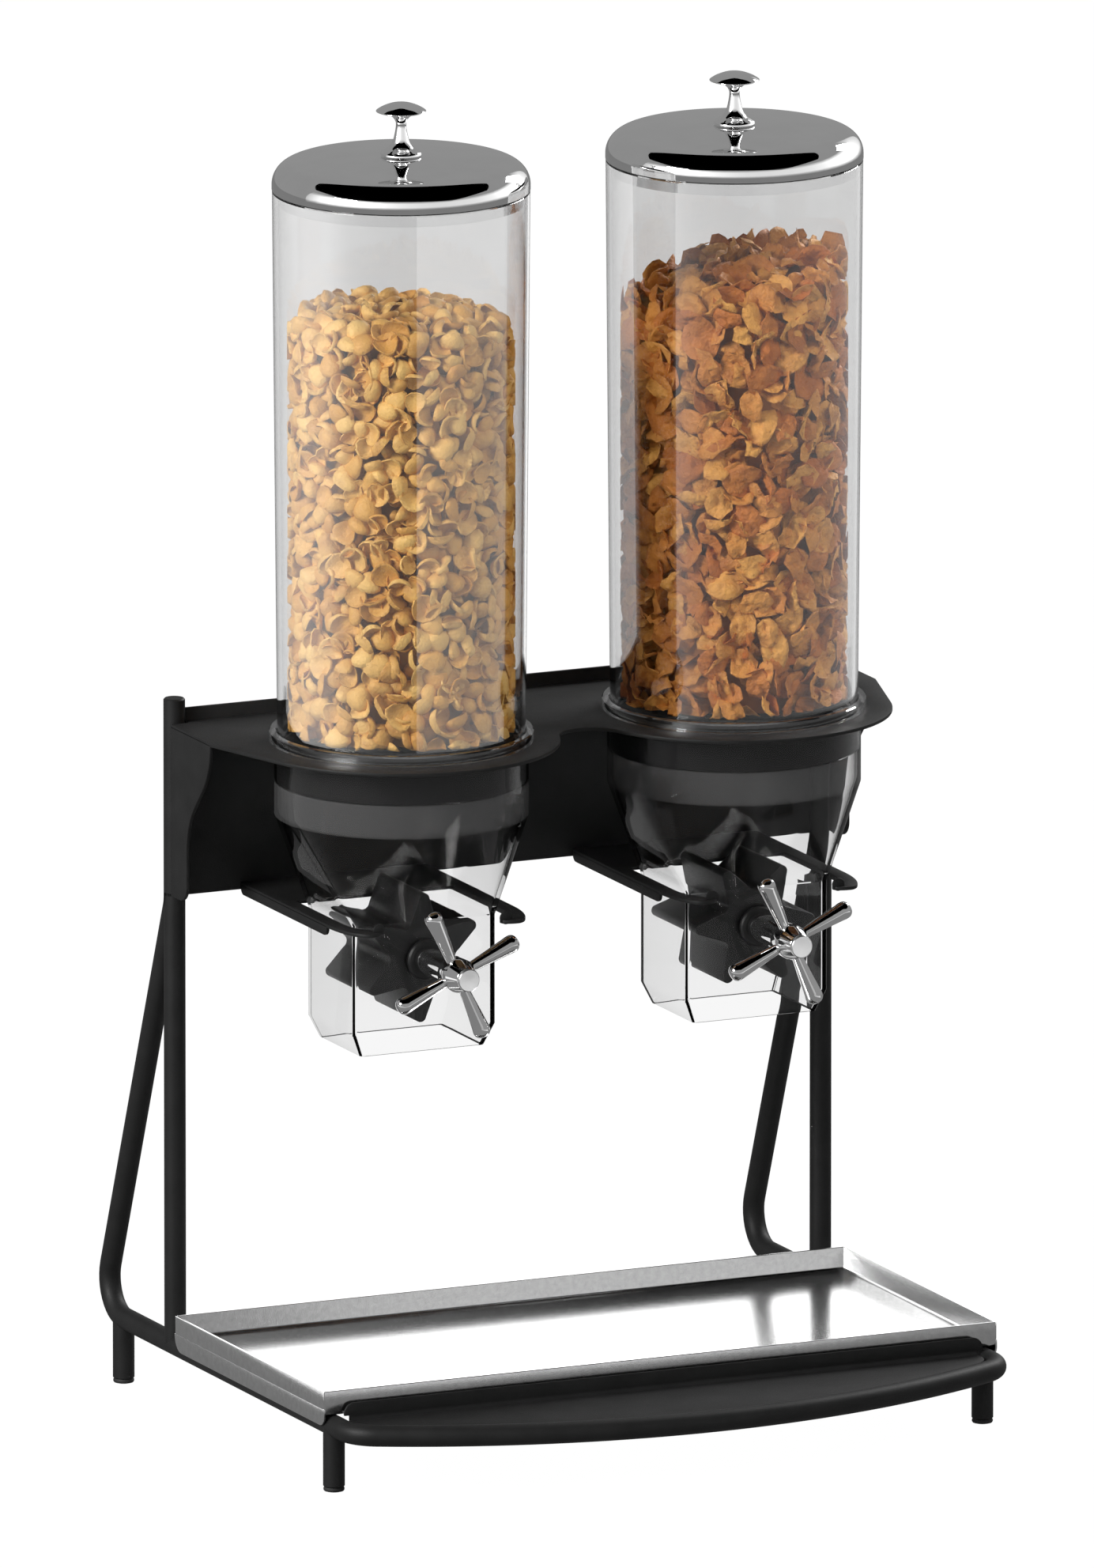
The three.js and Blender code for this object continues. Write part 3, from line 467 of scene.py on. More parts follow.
def thin_plastic(name):
    """The funnels' thin clear walls: frosted below the collar, shinier on the rim, with painted shade
    darkening the walls where they turn away from view.
    """
    material, tree = new_material(name)
    haze = spread_over(tree, grain(tree, 40.0), 0.0, 0.012)
    place = node(tree, "TexCoord").outputs["Object"]
    height = node(tree, "SeparateXYZ", {"Vector": place}).outputs["Z"]
    neck_edge = (NECK_TOP_Z * MM - 0.006, NECK_TOP_Z * MM + 0.006)
    bend = spread_over(tree, height, NECK_BEND, CUP_BEND, neck_edge)
    turned_away = node(tree, "LayerWeight", {"Blend": 0.5}).outputs["Facing"]
    steep = maths(tree, "POWER", turned_away, 5.0)
    # painted edge shade: the see-through colour darkens to grey where the wall turns away from view,
    # standing in for the dark lines refraction draws at the edges
    tint = mix_colour(tree, steep, grey(0.985), grey(0.3))
    through = node(tree, "BsdfRefraction", {"Color": tint, "Roughness": 0.0, "IOR": bend})
    shine = node(tree, "BsdfGlossy", {"Color": grey(1.0), "Roughness": haze})
    on_rim = maths(tree, "GREATER_THAN", height, SHELF_TOP_Z * MM)
    facing = maths(tree, "MULTIPLY_ADD", on_rim, RIM_SHINE, LEAST_SHINE)
    share = maths(tree, "MULTIPLY_ADD", steep, 0.5, facing)
    clear = mixed(tree, share, through.outputs[0], shine.outputs[0])
    over_low = maths(tree, "GREATER_THAN", height, LOFT_TOP_Z * MM)
    under_high = maths(tree, "LESS_THAN", height, LEDGE_Z * MM)
    band = maths(tree, "MULTIPLY", over_low, under_high)
    frost = node(tree, "BsdfDiffuse", {"Color": grey(0.8)})
    seen = mixed(tree, maths(tree, "MULTIPLY", band, FROST), clear, frost.outputs[0])
    finish_clear(tree, seen, FUNNEL_ABSORBS)
    return material


def cereal_material(name, pale, deep, toasted, seed_scale, crumple):
    """Baked dough: each piece has its own tone, its rim is toasted, and its skin is blistered."""
    material, tree = new_material(name)
    marks = node(tree, "Attribute", attribute_name="bake").outputs["Color"]
    channels = node(tree, "SeparateColor", {"Color": marks})
    rim, own, patch = (channels.outputs[i] for i in range(3))
    fine = grain(tree, seed_scale, 5.0)
    body = mix_colour(tree, own, pale, deep)
    toast = maths(tree, "MULTIPLY", rim, spread_over(tree, fine, 0.0, 1.0, (0.42, 0.72)))
    patchy = maths(tree, "MULTIPLY", patch, spread_over(tree, grain(tree, 150.0), 0, 0.8))
    colour = mix_colour(tree, maths(tree, "MAXIMUM", toast, patchy), body, toasted)
    relief = node(tree, "Bump", {"Height": fine, "Strength": 0.7, "Distance": crumple})
    roughness = spread_over(tree, fine, 0.45, 0.7)
    finish_opaque(tree, colour, roughness, relief, specular=0.4)
    return material


POWDER = surface(
    "powder_coat", grey(0.009), grey(0.013), (0.5, 0.62), texture=1500.0, bump=0.35, specular=0.27,
)
CHROME = surface("chrome", grey(0.86), grey(0.9), (0.02, 0.05), 1.0, texture=120.0, bump=0.0)
SATIN = surface("satin_chrome", grey(0.62), grey(0.7), (0.28, 0.4), 1.0, texture=2500.0, bump=0.15)
STEEL = surface("steel", grey(0.4), grey(0.5), (0.3, 0.42), 1.0, texture=2000.0, bump=0.1)
STAINLESS = surface(
    "brushed_stainless", grey(0.66), grey(0.74), (0.12, 0.22), 1.0,
    texture=1400.0, bump=0.3, depth=0.0001, mottle=300.0,
)
SEAL = surface(
    "seal_rubber", grey(0.003), grey(0.005), (0.5, 0.65), texture=1200.0, bump=0.15, specular=0.12,
)
WHEEL = surface(
    "wheel_rubber", grey(0.007), grey(0.010), (0.35, 0.5), texture=1200.0, bump=0.1, specular=0.2,
)
FOOT = surface("foot_rubber", grey(0.010), grey(0.016), (0.6, 0.8), texture=1500.0, bump=0.4)
BUSH = surface("bush_plastic", grey(0.008), grey(0.012), (0.3, 0.45), texture=1800.0, bump=0.1)
ACRYLIC = clear_plastic("clear_acrylic", 1.49, 0.89, 5.0)
POLYCARBONATE = thin_plastic("clear_polycarbonate")
PALE = cereal_material(
    "pale_cereal", (0.90, 0.57, 0.17, 1), (0.66, 0.33, 0.055, 1), (0.42, 0.17, 0.03, 1),
    seed_scale=700.0, crumple=0.0009,
)
AMBER = cereal_material(
    "amber_cereal", (0.98, 0.49, 0.105, 1), (0.58, 0.165, 0.018, 1), (0.33, 0.09, 0.02, 1),
    seed_scale=420.0, crumple=0.0022,
)
# The cores' colours are darker than the pieces': painted shade for the deep gaps between the pieces
PALE_SHADED_CORE = surface(
    "pale_crumb", (0.32, 0.17, 0.05, 1), (0.45, 0.25, 0.07, 1), (0.8, 0.9), texture=500.0,
)
AMBER_SHADED_CORE = surface(
    "amber_crumb", (0.34, 0.12, 0.03, 1), (0.5, 0.19, 0.045, 1), (0.8, 0.9), texture=500.0,
)

# -------- pieces


def link_object(name, data):
    """Adds an object that holds the data to the scene."""
    made = bpy.data.objects.new(name, data)
    bpy.context.scene.collection.objects.link(made)
    return made


def finish_mesh(name, mesh, material, body, sharp, replaces=()):
    mesh.polygons.foreach_set("use_smooth", [True] * len(mesh.polygons))
    mesh.set_sharp_from_angle(angle=math.radians(sharp))
    mesh.materials.append(material)
    made = link_object(name, mesh)
    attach(made, body)
    if replaces:
        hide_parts(*replaces)
    return made


def piece(name, shapes, material, body, slot, replaces, edge=0.0, sharp=38):
    """Makes one object of several shapes; edge rounds its sharp edges."""
    bm = bmesh.new()
    for points, faces in shapes:
        verts = [bm.verts.new(Vector(p) * MM) for p in points]
        for face in faces:
            bm.faces.new([verts[i] for i in face])
    bmesh.ops.recalc_face_normals(bm, faces=bm.faces)
    mesh = bpy.data.meshes.new(name)
    bm.to_mesh(mesh)
    bm.free()
    made = finish_mesh(name, mesh, material, body, sharp, replaces)
    if edge:
        bevel = made.modifiers.new("edges", "BEVEL")
        bevel.width = edge * MM
        bevel.segments = 2
        bevel.limit_method = "ANGLE"
        bevel.angle_limit = math.radians(40)
        bevel.harden_normals = True


def coated(name, shapes, *nodes):
    """A powder-coated piece of the stand, which replaces the nodes."""
    piece(name, shapes, POWDER, "stand", "black_powder_coat", nodes)


def twin(name, side, shape, look, node_name, y=0.0, z=0.0, **options):
    """Makes one side's copy of a piece both sides have; its look is material, body and slot, and the
    slot is not used.
    """
    moved_shape = shifted(shape, SIDES[side] * AXIS_X, y, z)
    piece(f"{name}_{side}", [moved_shape], *look, [f"{node_name}_{side}"], **options)


# Rod stand: posts, rear legs, base and front bow are one bent rod to the eye.


def stand_line():
    half = bent_line(
        [
            (SIDE_X, POST_Y, POST_TOP_Z),
            (SIDE_X, POST_Y, BEND_Z),
            (SIDE_X, REAR_CORNER_Y, RUN_Z),
            (SIDE_X, BOW_CORNER_Y, RUN_Z),
        ],
        SIDE_BEND_R,
    )
    corner = arc((BOW_CORNER_X, BOW_CORNER_Y), BOW_CORNER_R, 0, BOW_JOINT - 90, 14)
    bow = arc((0, BOW_CENTRE_Y), BOW_R, BOW_JOINT - 90, -90, 18)
    half += [Vector((x, y, RUN_Z)) for x, y in corner[1:] + bow[1:]]
    return half + [Vector((-p.x, p.y, p.z)) for p in reversed(half[:-1])]


coated("rod_frame", [tube(stand_line(), ROD_R)], "side_rod_left", "side_rod_right", "front_bow")

for side, sign in SIDES.items():
    x = sign * SIDE_X
    strut = tube([(x, POST_Y, RUN_Z), (x, POST_Y, 160), (x, POST_Y, BEND_Z + 6)], ROD_R)
    coated(f"rod_strut_{side}", [strut], f"strut_{side}")
    for end, y in FOOT_YS.items():
        leg = turned([(ROD_R - 0.6, GLIDE_H + 0.1), (ROD_R, GLIDE_H + 0.7), (ROD_R, RUN_Z)], 40)
        coated(f"leg_{end}_{side}", [shifted(leg, x, y)], f"foot_{end}_{side}")
        pad = turned([(4.4, 0), (5.4, 0.3), (5.8, 0.9), (5.8, 1.8), (5.4, GLIDE_H), (4.8, GLIDE_H)], 40)
        look = (FOOT, "stand", "black_rubber")
        piece(f"pad_{end}_{side}", [shifted(pad, x, y)], *look, [f"glide_{end}_{side}"])

# Shelf with its side gussets


def shelf_outlines():
    run = Vector((SHELF_HALF_X - AXIS_X, SHELF_CORNER_Y - AXIS_Y))
    tangent = math.degrees(math.atan2(run.y, run.x) - math.acos(SCALLOP_R / run.length))
    inner = math.degrees(math.atan2(FILLET_Y - AXIS_Y, AXIS_X))
    outline = [
        (BESIDE_POST_X, BEFORE_POST_Y), (BESIDE_POST_X, BEFORE_PANEL_Y),
        (-BESIDE_POST_X, BEFORE_PANEL_Y), (-BESIDE_POST_X, BEFORE_POST_Y),
        (-SHELF_HALF_X, BEFORE_POST_Y), (-SHELF_HALF_X, SHELF_CORNER_Y),
    ]
    outline += arc((-AXIS_X, AXIS_Y), SCALLOP_R, -180 - tangent, inner, 56)
    outline += arc((0, FILLET_Y), FILLET_R, 180 + inner, -inner, 24)[1:-1]
    outline += arc((AXIS_X, AXIS_Y), SCALLOP_R, -180 - inner, tangent, 56)
    outline += [(SHELF_HALF_X, SHELF_CORNER_Y), (SHELF_HALF_X, BEFORE_POST_Y)]
    holes = [arc((sign * AXIS_X, AXIS_Y), SHELF_HOLE_R, 0, 360, 96)[:-1] for sign in (-1, 1)]
    return [outline, *holes]


def gusset_outline():
    top_z = SHELF_TOP_Z - SHEET_T / 2
    bottom_z = PANEL_BOTTOM_Z + 1.5
    front_y = SHELF_CORNER_Y + 2
    waist_z = 352
    corner_r = 9
    outline = [(BEFORE_POST_Y, top_z), (front_y, top_z)]
    narrow = ((GUSSET_NARROW_Y, waist_z), (GUSSET_NARROW_Y, waist_z - 34))
    outline += bezier((front_y, top_z), (front_y, waist_z), *narrow, 20)
    outline += arc((GUSSET_NARROW_Y + corner_r, bottom_z + corner_r), corner_r, 180, 270, 10)
    return [outline + [(BEFORE_POST_Y, bottom_z)]]


shelf = [sheet(shelf_outlines(), SHELF_TOP_Z - SHEET_T, SHELF_TOP_Z)]
shelf += [wall(gusset_outline(), sign, SHELF_HALF_X, SHEET_T) for sign in (-1, 1)]
coated("shelf_sheet", shelf, "shelf")

panel = [
    (-BESIDE_POST_X, PANEL_BOTTOM_Z), (BESIDE_POST_X, PANEL_BOTTOM_Z),
    (BESIDE_POST_X, PANEL_TOP_Z), (-BESIDE_POST_X, PANEL_TOP_Z),
]
rear_panel = sheet([panel], -POST_Y - SHEET_T / 2, -POST_Y + SHEET_T / 2, UPRIGHT)
coated("rear_panel", [rear_panel], "back_panel")


def fork_outline():
    tip_x, tip_y = FINGER_TIP_X, FINGER_Y
    half = [(BRACKET_HALF_X, BEFORE_PANEL_Y), (BRACKET_HALF_X, FLANGE_Y)]
    half += bezier(half[-1], (BRACKET_HALF_X, tip_y + 14), (50, tip_y), (44, tip_y))
    half += bezier(half[-1], (39, tip_y), (tip_x, tip_y + 2), (tip_x, tip_y + 5), 6)
    half += bezier(half[-1], (tip_x, tip_y + 9), (SLOT_HALF_X, tip_y + 9), (SLOT_HALF_X, FLANGE_Y))
    half.append((SLOT_HALF_X, AXIS_Y + NECK_Y + 4))
    return [half + [(-x, y) for x, y in reversed(half)]]


def flange_outline():
    corner_r = 4
    top_z = BRACKET_TOP_Z - SHEET_T / 2
    arc_z = FLANGE_Z + corner_r
    outline = [(BEFORE_PANEL_Y, top_z), (FLANGE_Y, top_z)]
    outline += arc((FLANGE_Y + corner_r, arc_z), corner_r, 180, 270, 8)
    outline += arc((BEFORE_PANEL_Y - corner_r, arc_z), corner_r, 270, 360, 8)
    return [outline]


for side, sign in SIDES.items():
    fork = [sheet(fork_outline(), BRACKET_TOP_Z - SHEET_T, BRACKET_TOP_Z)]
    for edge_sign in (-1, 1):
        fork.append(wall(flange_outline(), edge_sign, BRACKET_HALF_X, SHEET_T))
        lug = arc((edge_sign * (FINGER_TIP_X + 3), BRACKET_TOP_Z + 1), 3.6, 0, 360, 28)[:-1]
        fork.append(sheet([lug], -FINGER_Y - 4.6, -FINGER_Y - 3, UPRIGHT))
    coated(f"fork_{side}", [shifted(s, sign * AXIS_X) for s in fork], f"bracket_{side}")

# Front plate inside the bow, folded up behind


def front_sheets():
    corner_r = BOW_CORNER_R - ROD_R - GAP
    half_x = BOW_CORNER_X + corner_r
    outline = [(-half_x, FRONT_LIP_Y)]
    outline += arc((-BOW_CORNER_X, BOW_CORNER_Y), corner_r, 180, 270 - BOW_JOINT, 14)
    bow_r = BOW_R - ROD_R - GAP
    outline += arc((0, BOW_CENTRE_Y), bow_r, 270 - BOW_JOINT, 270 + BOW_JOINT, 40)[1:-1]
    outline += arc((BOW_CORNER_X, BOW_CORNER_Y), corner_r, BOW_JOINT - 90, 0, 14)
    outline.append((half_x, FRONT_LIP_Y))
    flat = sheet([outline], FRONT_PLATE_Z, FRONT_PLATE_Z + FRONT_PLATE_T, edge=0.25)
    lip_r = 6
    over_rod_z = RUN_Z + ROD_R + GAP + 0.2
    lip_x = FRONT_LIP_HALF_X - lip_r
    lip = [(-half_x, FRONT_PLATE_Z), (half_x, FRONT_PLATE_Z), (half_x, over_rod_z)]
    lip.append((FRONT_LIP_HALF_X, over_rod_z))
    lip += arc((lip_x, FRONT_LIP_TOP_Z - lip_r), lip_r, 0, 90, 12)
    lip += arc((-lip_x, FRONT_LIP_TOP_Z - lip_r), lip_r, 90, 180, 12)
    lip += [(-FRONT_LIP_HALF_X, over_rod_z), (-half_x, over_rod_z)]
    upright = sheet([lip], -FRONT_LIP_Y, -FRONT_LIP_Y + FRONT_PLATE_T, UPRIGHT, edge=0.25)
    fold_r = 2.0
    fold_y = FRONT_LIP_Y - FRONT_PLATE_T
    fold_z = FRONT_PLATE_Z + FRONT_PLATE_T
    fold = [(fold_y + 0.5, fold_z - 0.5), (fold_y + 0.5, fold_z + fold_r)]
    fold += arc((fold_y - fold_r, fold_z + fold_r), fold_r, 0, -90, 8)
    fold.append((fold_y - fold_r, fold_z - 0.5))
    inside = sheet([fold], -half_x + 0.5, half_x - 0.5, SIDEWAYS, edge=0)
    return [flat, upright, inside]


coated("front_sheet", front_sheets(), "front_plate")

# Tray: a folded pan with a skirt on each side


def pan():
    """The pan's section runs from under its floor, over its rim, to the top of its floor."""
    centre_y = (TRAY_FRONT_Y + TRAY_REAR_Y) / 2
    half_y = (TRAY_REAR_Y - TRAY_FRONT_Y) / 2
    top, floor = TRAY_TOP_Z, TRAY_FLOOR_Z
    section = [(5, floor), (2.6, floor), (1.2, floor + 0.3), (0.3, floor + 1.2), (0, floor + 2.6)]
    section += [(0, top - 0.4), (0.15, top - 0.1), (0.45, top), (TRAY_T - 0.45, top)]
    section += [(TRAY_T - 0.15, top - 0.1), (TRAY_T, top - 0.4), (TRAY_T, floor + TRAY_T + 1.6)]
    section += [(TRAY_T + 0.5, floor + TRAY_T + 0.5), (TRAY_T + 1.6, floor + TRAY_T)]
    section.append((TRAY_T + 4, floor + TRAY_T))
    rings = [
        rounded_ring(TRAY_HALF_X - inset, half_y - inset, max(1.5 - inset, 0.15), z, 5)
        for inset, z in section
    ]
    return shifted(skin(rings), y=centre_y)


def skirt_outline():
    front_r, rear_r = 6, 9
    outline = [(TRAY_FRONT_Y + 0.2, TRAY_FLOOR_Z + 4)]
    outline += arc((TRAY_FRONT_Y + front_r, TRAY_SKIRT_Z + front_r), front_r, 180, 270, 10)
    outline += arc((TRAY_REAR_Y - rear_r, TRAY_SKIRT_Z + rear_r), rear_r, 270, 360, 12)
    return [outline + [(TRAY_REAR_Y - 0.2, TRAY_FLOOR_Z + 4)]]


tray = [pan()]
tray += [wall(skirt_outline(), sign, TRAY_HALF_X, TRAY_T, edge=0.2) for sign in (-1, 1)]
piece("tray_pan", tray, STAINLESS, "tray", "stainless", ["tray"], sharp=50)

# -------- canister, lid, funnel


def canister_shape():
    top, bottom = CANISTER_TOP_Z, CANISTER_BOTTOM_Z
    soft = 0.5
    steps = 8
    outer = [
        (CANISTER_BOTTOM_R + (CANISTER_TOP_R - CANISTER_BOTTOM_R) * s / steps,
         bottom + soft + (top - bottom - 2 * soft) * s / steps)
        for s in range(steps + 1)
    ]
    inner = [(r - CANISTER_WALL, z) for r, z in reversed(outer)]
    over = [(CANISTER_TOP_R - soft, top), (CANISTER_TOP_R - CANISTER_WALL + soft, top)]
    under = [(CANISTER_BOTTOM_R - CANISTER_WALL + soft, bottom), (CANISTER_BOTTOM_R - soft, bottom)]
    return turned(outer + over + inner + under, 160, loop=True)


def lid_shape():
    shoulder_r = 12.5
    shoulder_z = LID_BOTTOM_Z + 3
    edge_r = LID_R - shoulder_r
    edge_z = shoulder_z + shoulder_r
    ring_r = CANISTER_TOP_R - CANISTER_WALL - 0.8
    ring_z = LID_BOTTOM_Z - 7
    hole_r = 3

    def dome(r, drop=0.0):
        return edge_z + (LID_APEX_Z - edge_z) * (1 - (r / edge_r) ** 2) - drop

    outside = [(LID_R - 0.5, LID_BOTTOM_Z), (LID_R, LID_BOTTOM_Z + 0.5)]
    outside += arc((edge_r, shoulder_z), shoulder_r, 0, 83, 16)
    outside += [(r, dome(r)) for r in (54, 48, 42, 36, 30, 24, 18, 12, 6, hole_r)]
    inside = [(r, dome(r, LID_T)) for r in (hole_r, 12, 24, 36, 48, 54)]
    inside += arc((edge_r, shoulder_z), shoulder_r - LID_T - 0.3, 88, 54, 5)
    inside += [(ring_r - LID_T, shoulder_z + 8)]
    inside += [(ring_r - LID_T, ring_z), (ring_r, ring_z), (ring_r, LID_BOTTOM_Z)]
    return turned(outside + inside, 160, loop=True)


def knob_shape():
    waist = smooth_line(
        [(11.3, 0.2), (11.0, 1.4), (8.9, 2.8), (6.2, 4.6), (4.3, 8.4), (2.9, 15.5),
         (3.4, 19.2), (6.5, 22.1), (12.6, 23.7)]
    )
    cap = smooth_line(
        [(12.6, 23.7), (13.7, 24.2), (13.1, 24.9), (10.2, 26.6), (5.4, 28.4), (0.1, 29.1)]
    )
    profile = [(0.1, 0.2)] + [tuple(p) for p in waist] + [tuple(p) for p in cap[1:]]
    return shifted(turned(profile, 72), z=KNOB_BASE_Z)


def knob_screw_shape():
    top = LID_APEX_Z - LID_T - GAP - 0.1
    return turned(
        [(0.1, top - 3), (3.4, top - 3), (4.2, top - 2), (4.2, top), (2, top),
         (2, KNOB_BASE_Z + 0.1), (0.1, KNOB_BASE_Z + 0.1)],
        40,
    )


def funnel_shape():
    def circle(r, z):
        return rounded_ring(r, r, r, z)

    inner_x, inner_y = NECK_X - NECK_WALL, NECK_Y - NECK_WALL
    neck_low = rounded_ring(NECK_X, NECK_Y, 3, CHUTE_TOP_Z)
    neck_high = rounded_ring(NECK_X, NECK_Y, 3, NECK_TOP_Z)
    cup_low = circle(FUNNEL_R, LOFT_TOP_Z)
    rim_low = SHELF_TOP_Z + GAP
    rim_top = FUNNEL_RIM_TOP_Z
    outside = [rounded_ring(CHUTE_X, CHUTE_Y, 3, CHUTE_BOTTOM_Z), neck_low, neck_high]
    outside += between_rings(neck_high, cup_low, 12)
    outside += [cup_low, circle(FUNNEL_R, rim_low), circle(FUNNEL_RIM_R, rim_low)]
    outside += [circle(FUNNEL_RIM_R, rim_top - 0.6), circle(FUNNEL_RIM_R - 0.6, rim_top)]
    throat = circle(THROAT_R, LOFT_TOP_Z + 2)
    inner_high = rounded_ring(inner_x, inner_y, 1.5, NECK_TOP_Z + 0.5)
    inner_low = rounded_ring(inner_x, inner_y, 1.5, CHUTE_TOP_Z + 0.5)
    inside = [circle(BORE_R + 0.5, rim_top), circle(BORE_R, rim_top - 0.5)]
    inside += [circle(BORE_R, LEDGE_Z), circle(THROAT_R, LEDGE_Z), throat]
    inside += between_rings(throat, inner_high, 12)
    inside += [inner_high, inner_low]
    inside.append(rounded_ring(CHUTE_X - NECK_WALL, CHUTE_Y - NECK_WALL, 1.5, CHUTE_BOTTOM_Z))
    return skin(outside + inside, loop=True)


def seal_shape():
    low, top = LEDGE_Z + GAP, SEAL_TOP_Z
    outer, inner = BORE_R - GAP - 0.1, THROAT_R - 2
    return turned(
        [(outer, low), (outer, top - 0.6), (outer - 0.6, top), (inner + 0.6, top),
         (inner, top - 0.6), (inner, low)],
        128, loop=True,
    )


# -------- wheel and handle


def wheel_outline(turn):
    """Six tapering paddles with round tips, joined by round valleys."""
    tip_r = 3.2
    valley_r = 4
    step = 360 / PADDLES
    outline = []
    for paddle in range(PADDLES):
        here = paddle * step + turn
        tip = polar(WHEEL_R - tip_r, math.radians(here))
        outline += arc(tip, tip_r, here - 62, here + 62, 8)
        valley = polar(WHEEL_VALLEY_R + valley_r, math.radians(here + step / 2))
        inward = here + step / 2 + 180
        outline += arc(valley, valley_r, inward + 58, inward - 58, 8)
    return outline


def front_turned(profile, segments=48, loop=False):
    """Turned about the axle; the profile is (radius, distance in front of Y = 0)."""
    return shifted(moved(turned(profile, segments, loop), FACING_FRONT), z=AXLE_Z)


def spoke_shape(turn):
    tip = smooth_line([(4.75, 32.6), (4.95, 35.0), (4.5, 37.2), (2.9, 38.8), (0.1, SPOKE_REACH)])
    profile = [(0.1, SPOKE_ROOT - 1), (2.7, SPOKE_ROOT - 1)] + [tuple(p) for p in tip]
    lie = Matrix.Translation((0, SPOKE_PLANE_Y, AXLE_Z))
    return moved(turned(profile, 40), lie @ Matrix.Rotation(math.pi / 2 - turn, 4, "Y"))


def add_handle(side):
    """The axle in its bushes, and the handle."""
    body = f"handle_{side}"
    chrome = (CHROME, body, "chrome")
    plastic = (BUSH, "stand", "black_plastic")
    neck_front = NECK_Y - AXIS_Y
    neck_rear = -AXIS_Y - NECK_Y
    hub_rear = neck_front + 3 + 2 * GAP
    cap_rear = HANDLE_FRONT - 2.4
    bush_r = 6.9
    bore = AXLE_R + 0.2
    spindle = [
        (AXLE_R - 0.4, neck_rear - 2), (AXLE_R, neck_rear - 1.6), (AXLE_R, 62),
        (AXLE_R - 0.4, 62.2),
    ]
    twin("spindle", side, front_turned(spindle), (STEEL, body, "steel"), "axle")
    front = [
        (bore, neck_front - NECK_WALL - 0.4), (bush_r, neck_front - NECK_WALL - 0.4),
        (bush_r, neck_front + 0.05), (11.3, neck_front + 0.05), (11.3, neck_front + 1.9),
        (10.2, neck_front + 3), (bore, neck_front + 3),
    ]
    twin("boss", side, front_turned(front, 56, loop=True), plastic, "front_bush", edge=0.25)
    rear = [
        (bore, neck_rear - 3), (8.2, neck_rear - 3), (9, neck_rear - 2.2), (9, neck_rear - 0.05),
        (bush_r, neck_rear - 0.05), (bush_r, neck_rear + NECK_WALL + 0.4),
        (bore, neck_rear + NECK_WALL + 0.4),
    ]
    twin("rear_boss", side, front_turned(rear, 56, loop=True), plastic, "rear_bush", edge=0.25)
    hub = [(0.1, hub_rear), (8, hub_rear), (8, 57.2)]
    hub += arc((8 + 1.2, 58.4), 1.2, 180, 100, 4)[1:]
    hub += [(9.2, 60.0), (9.5, 60.6), (9.5, 70.4), (9.1, 71.2)]
    hub += [(6.5, cap_rear - 0.4), (6.2, cap_rear), (0.1, cap_rear)]
    twin("chrome_hub", side, front_turned(hub, 64), chrome, "handle_hub")
    disc = [
        (0.1, cap_rear + 0.05), (6.3, cap_rear + 0.05), (6.3, HANDLE_FRONT - 0.5),
        (5.8, HANDLE_FRONT), (3, HANDLE_FRONT - 0.12), (0.1, HANDLE_FRONT - 0.2),
    ]
    twin("satin_disc", side, front_turned(disc, 56), (SATIN, body, "satin_chrome"), "handle_cap")
    for spoke in range(SPOKES):
        turn = math.radians(SPOKE_ANGLE + 360 * spoke / SPOKES)
        twin(f"arm_{spoke + 1}", side, spoke_shape(turn), chrome, f"spoke_{spoke + 1}")


for side in SIDES:
    acrylic = (ACRYLIC, f"canister_{side}", "clear_acrylic")
    chrome = (CHROME, f"lid_{side}", "chrome")
    steel = (STEEL, f"lid_{side}", "steel")
    clear = (POLYCARBONATE, "stand", "clear_polycarbonate")
    twin("clear_tube", side, canister_shape(), acrylic, "canister", AXIS_Y)
    twin("chrome_lid", side, lid_shape(), chrome, "lid", AXIS_Y)
    twin("chrome_knob", side, knob_shape(), chrome, "lid_knob", AXIS_Y, sharp=60)
    twin("screw", side, knob_screw_shape(), steel, "knob_screw", AXIS_Y)
    twin("clear_funnel", side, funnel_shape(), clear, "funnel", AXIS_Y, sharp=25)
    twin("collar", side, seal_shape(), (SEAL, "stand", "seal_rubber"), "canister_seal", AXIS_Y)
    outline = wheel_outline(WHEEL_TURN[side])
    wheel = sheet([outline], -WHEEL_HALF_LENGTH, WHEEL_HALF_LENGTH, UPRIGHT, edge=0.8)
    rubber = (WHEEL, f"handle_{side}", "wheel_rubber")
    twin("rotor", side, wheel, rubber, "paddle_wheel", AXIS_Y, AXLE_Z)
    add_handle(side)

# -------- cereal


def dough(levels, place):
    """A closed piece of dough, with a point at each end.

    A level is (share of the radius, height, rim tone), and place(turn, out, up) gives the
    x, y and z of a point on it.
    """
    turns = circle_turns(AROUND)
    points = [(*place(turn, out, up), tone) for out, up, tone in levels for turn in turns]
    end = len(points) - AROUND
    faces = []
    for low in range(0, end, AROUND):
        for k in range(AROUND):
            on = (k + 1) % AROUND
            faces.append((low + k, low + on, low + AROUND + on, low + AROUND + k))
    for k in range(AROUND):
        on = (k + 1) % AROUND
        faces.append((on, k, len(points)))
        faces.append((end + k, end + on, len(points) + 1))
    points += [tuple(np.mean(np.array(ring), axis=0)) for ring in (points[:AROUND], points[end:])]
    return np.array(points, float), faces


def dough_shell(rng):
    """A small cup, pinched to one side like a sea shell."""
    radius = rng.uniform(6.3, 7.8)
    depth = rng.uniform(3.8, 5.2)
    squash = rng.uniform(0.84, 1.0)
    wave = rng.uniform(0, 6.28)

    def place(turn, out, up):
        x, y = polar(radius * out * (1 + 0.07 * math.sin(3 * turn + wave)), turn)
        z = depth * up + 0.9 * out * math.sin(2 * turn + wave) - 0.012 * x * x
        return x, y * squash, z - depth / 2

    levels = [  # heights are shares of the depth
        (0.42, 0.06, 0.1), (0.80, 0.36, 0.2), (1.0, 0.88, 0.7), (0.93, 1.02, 1.0),
        (0.72, 0.66, 0.5), (0.34, 0.36, 0.25),
    ]
    return dough(levels, place)


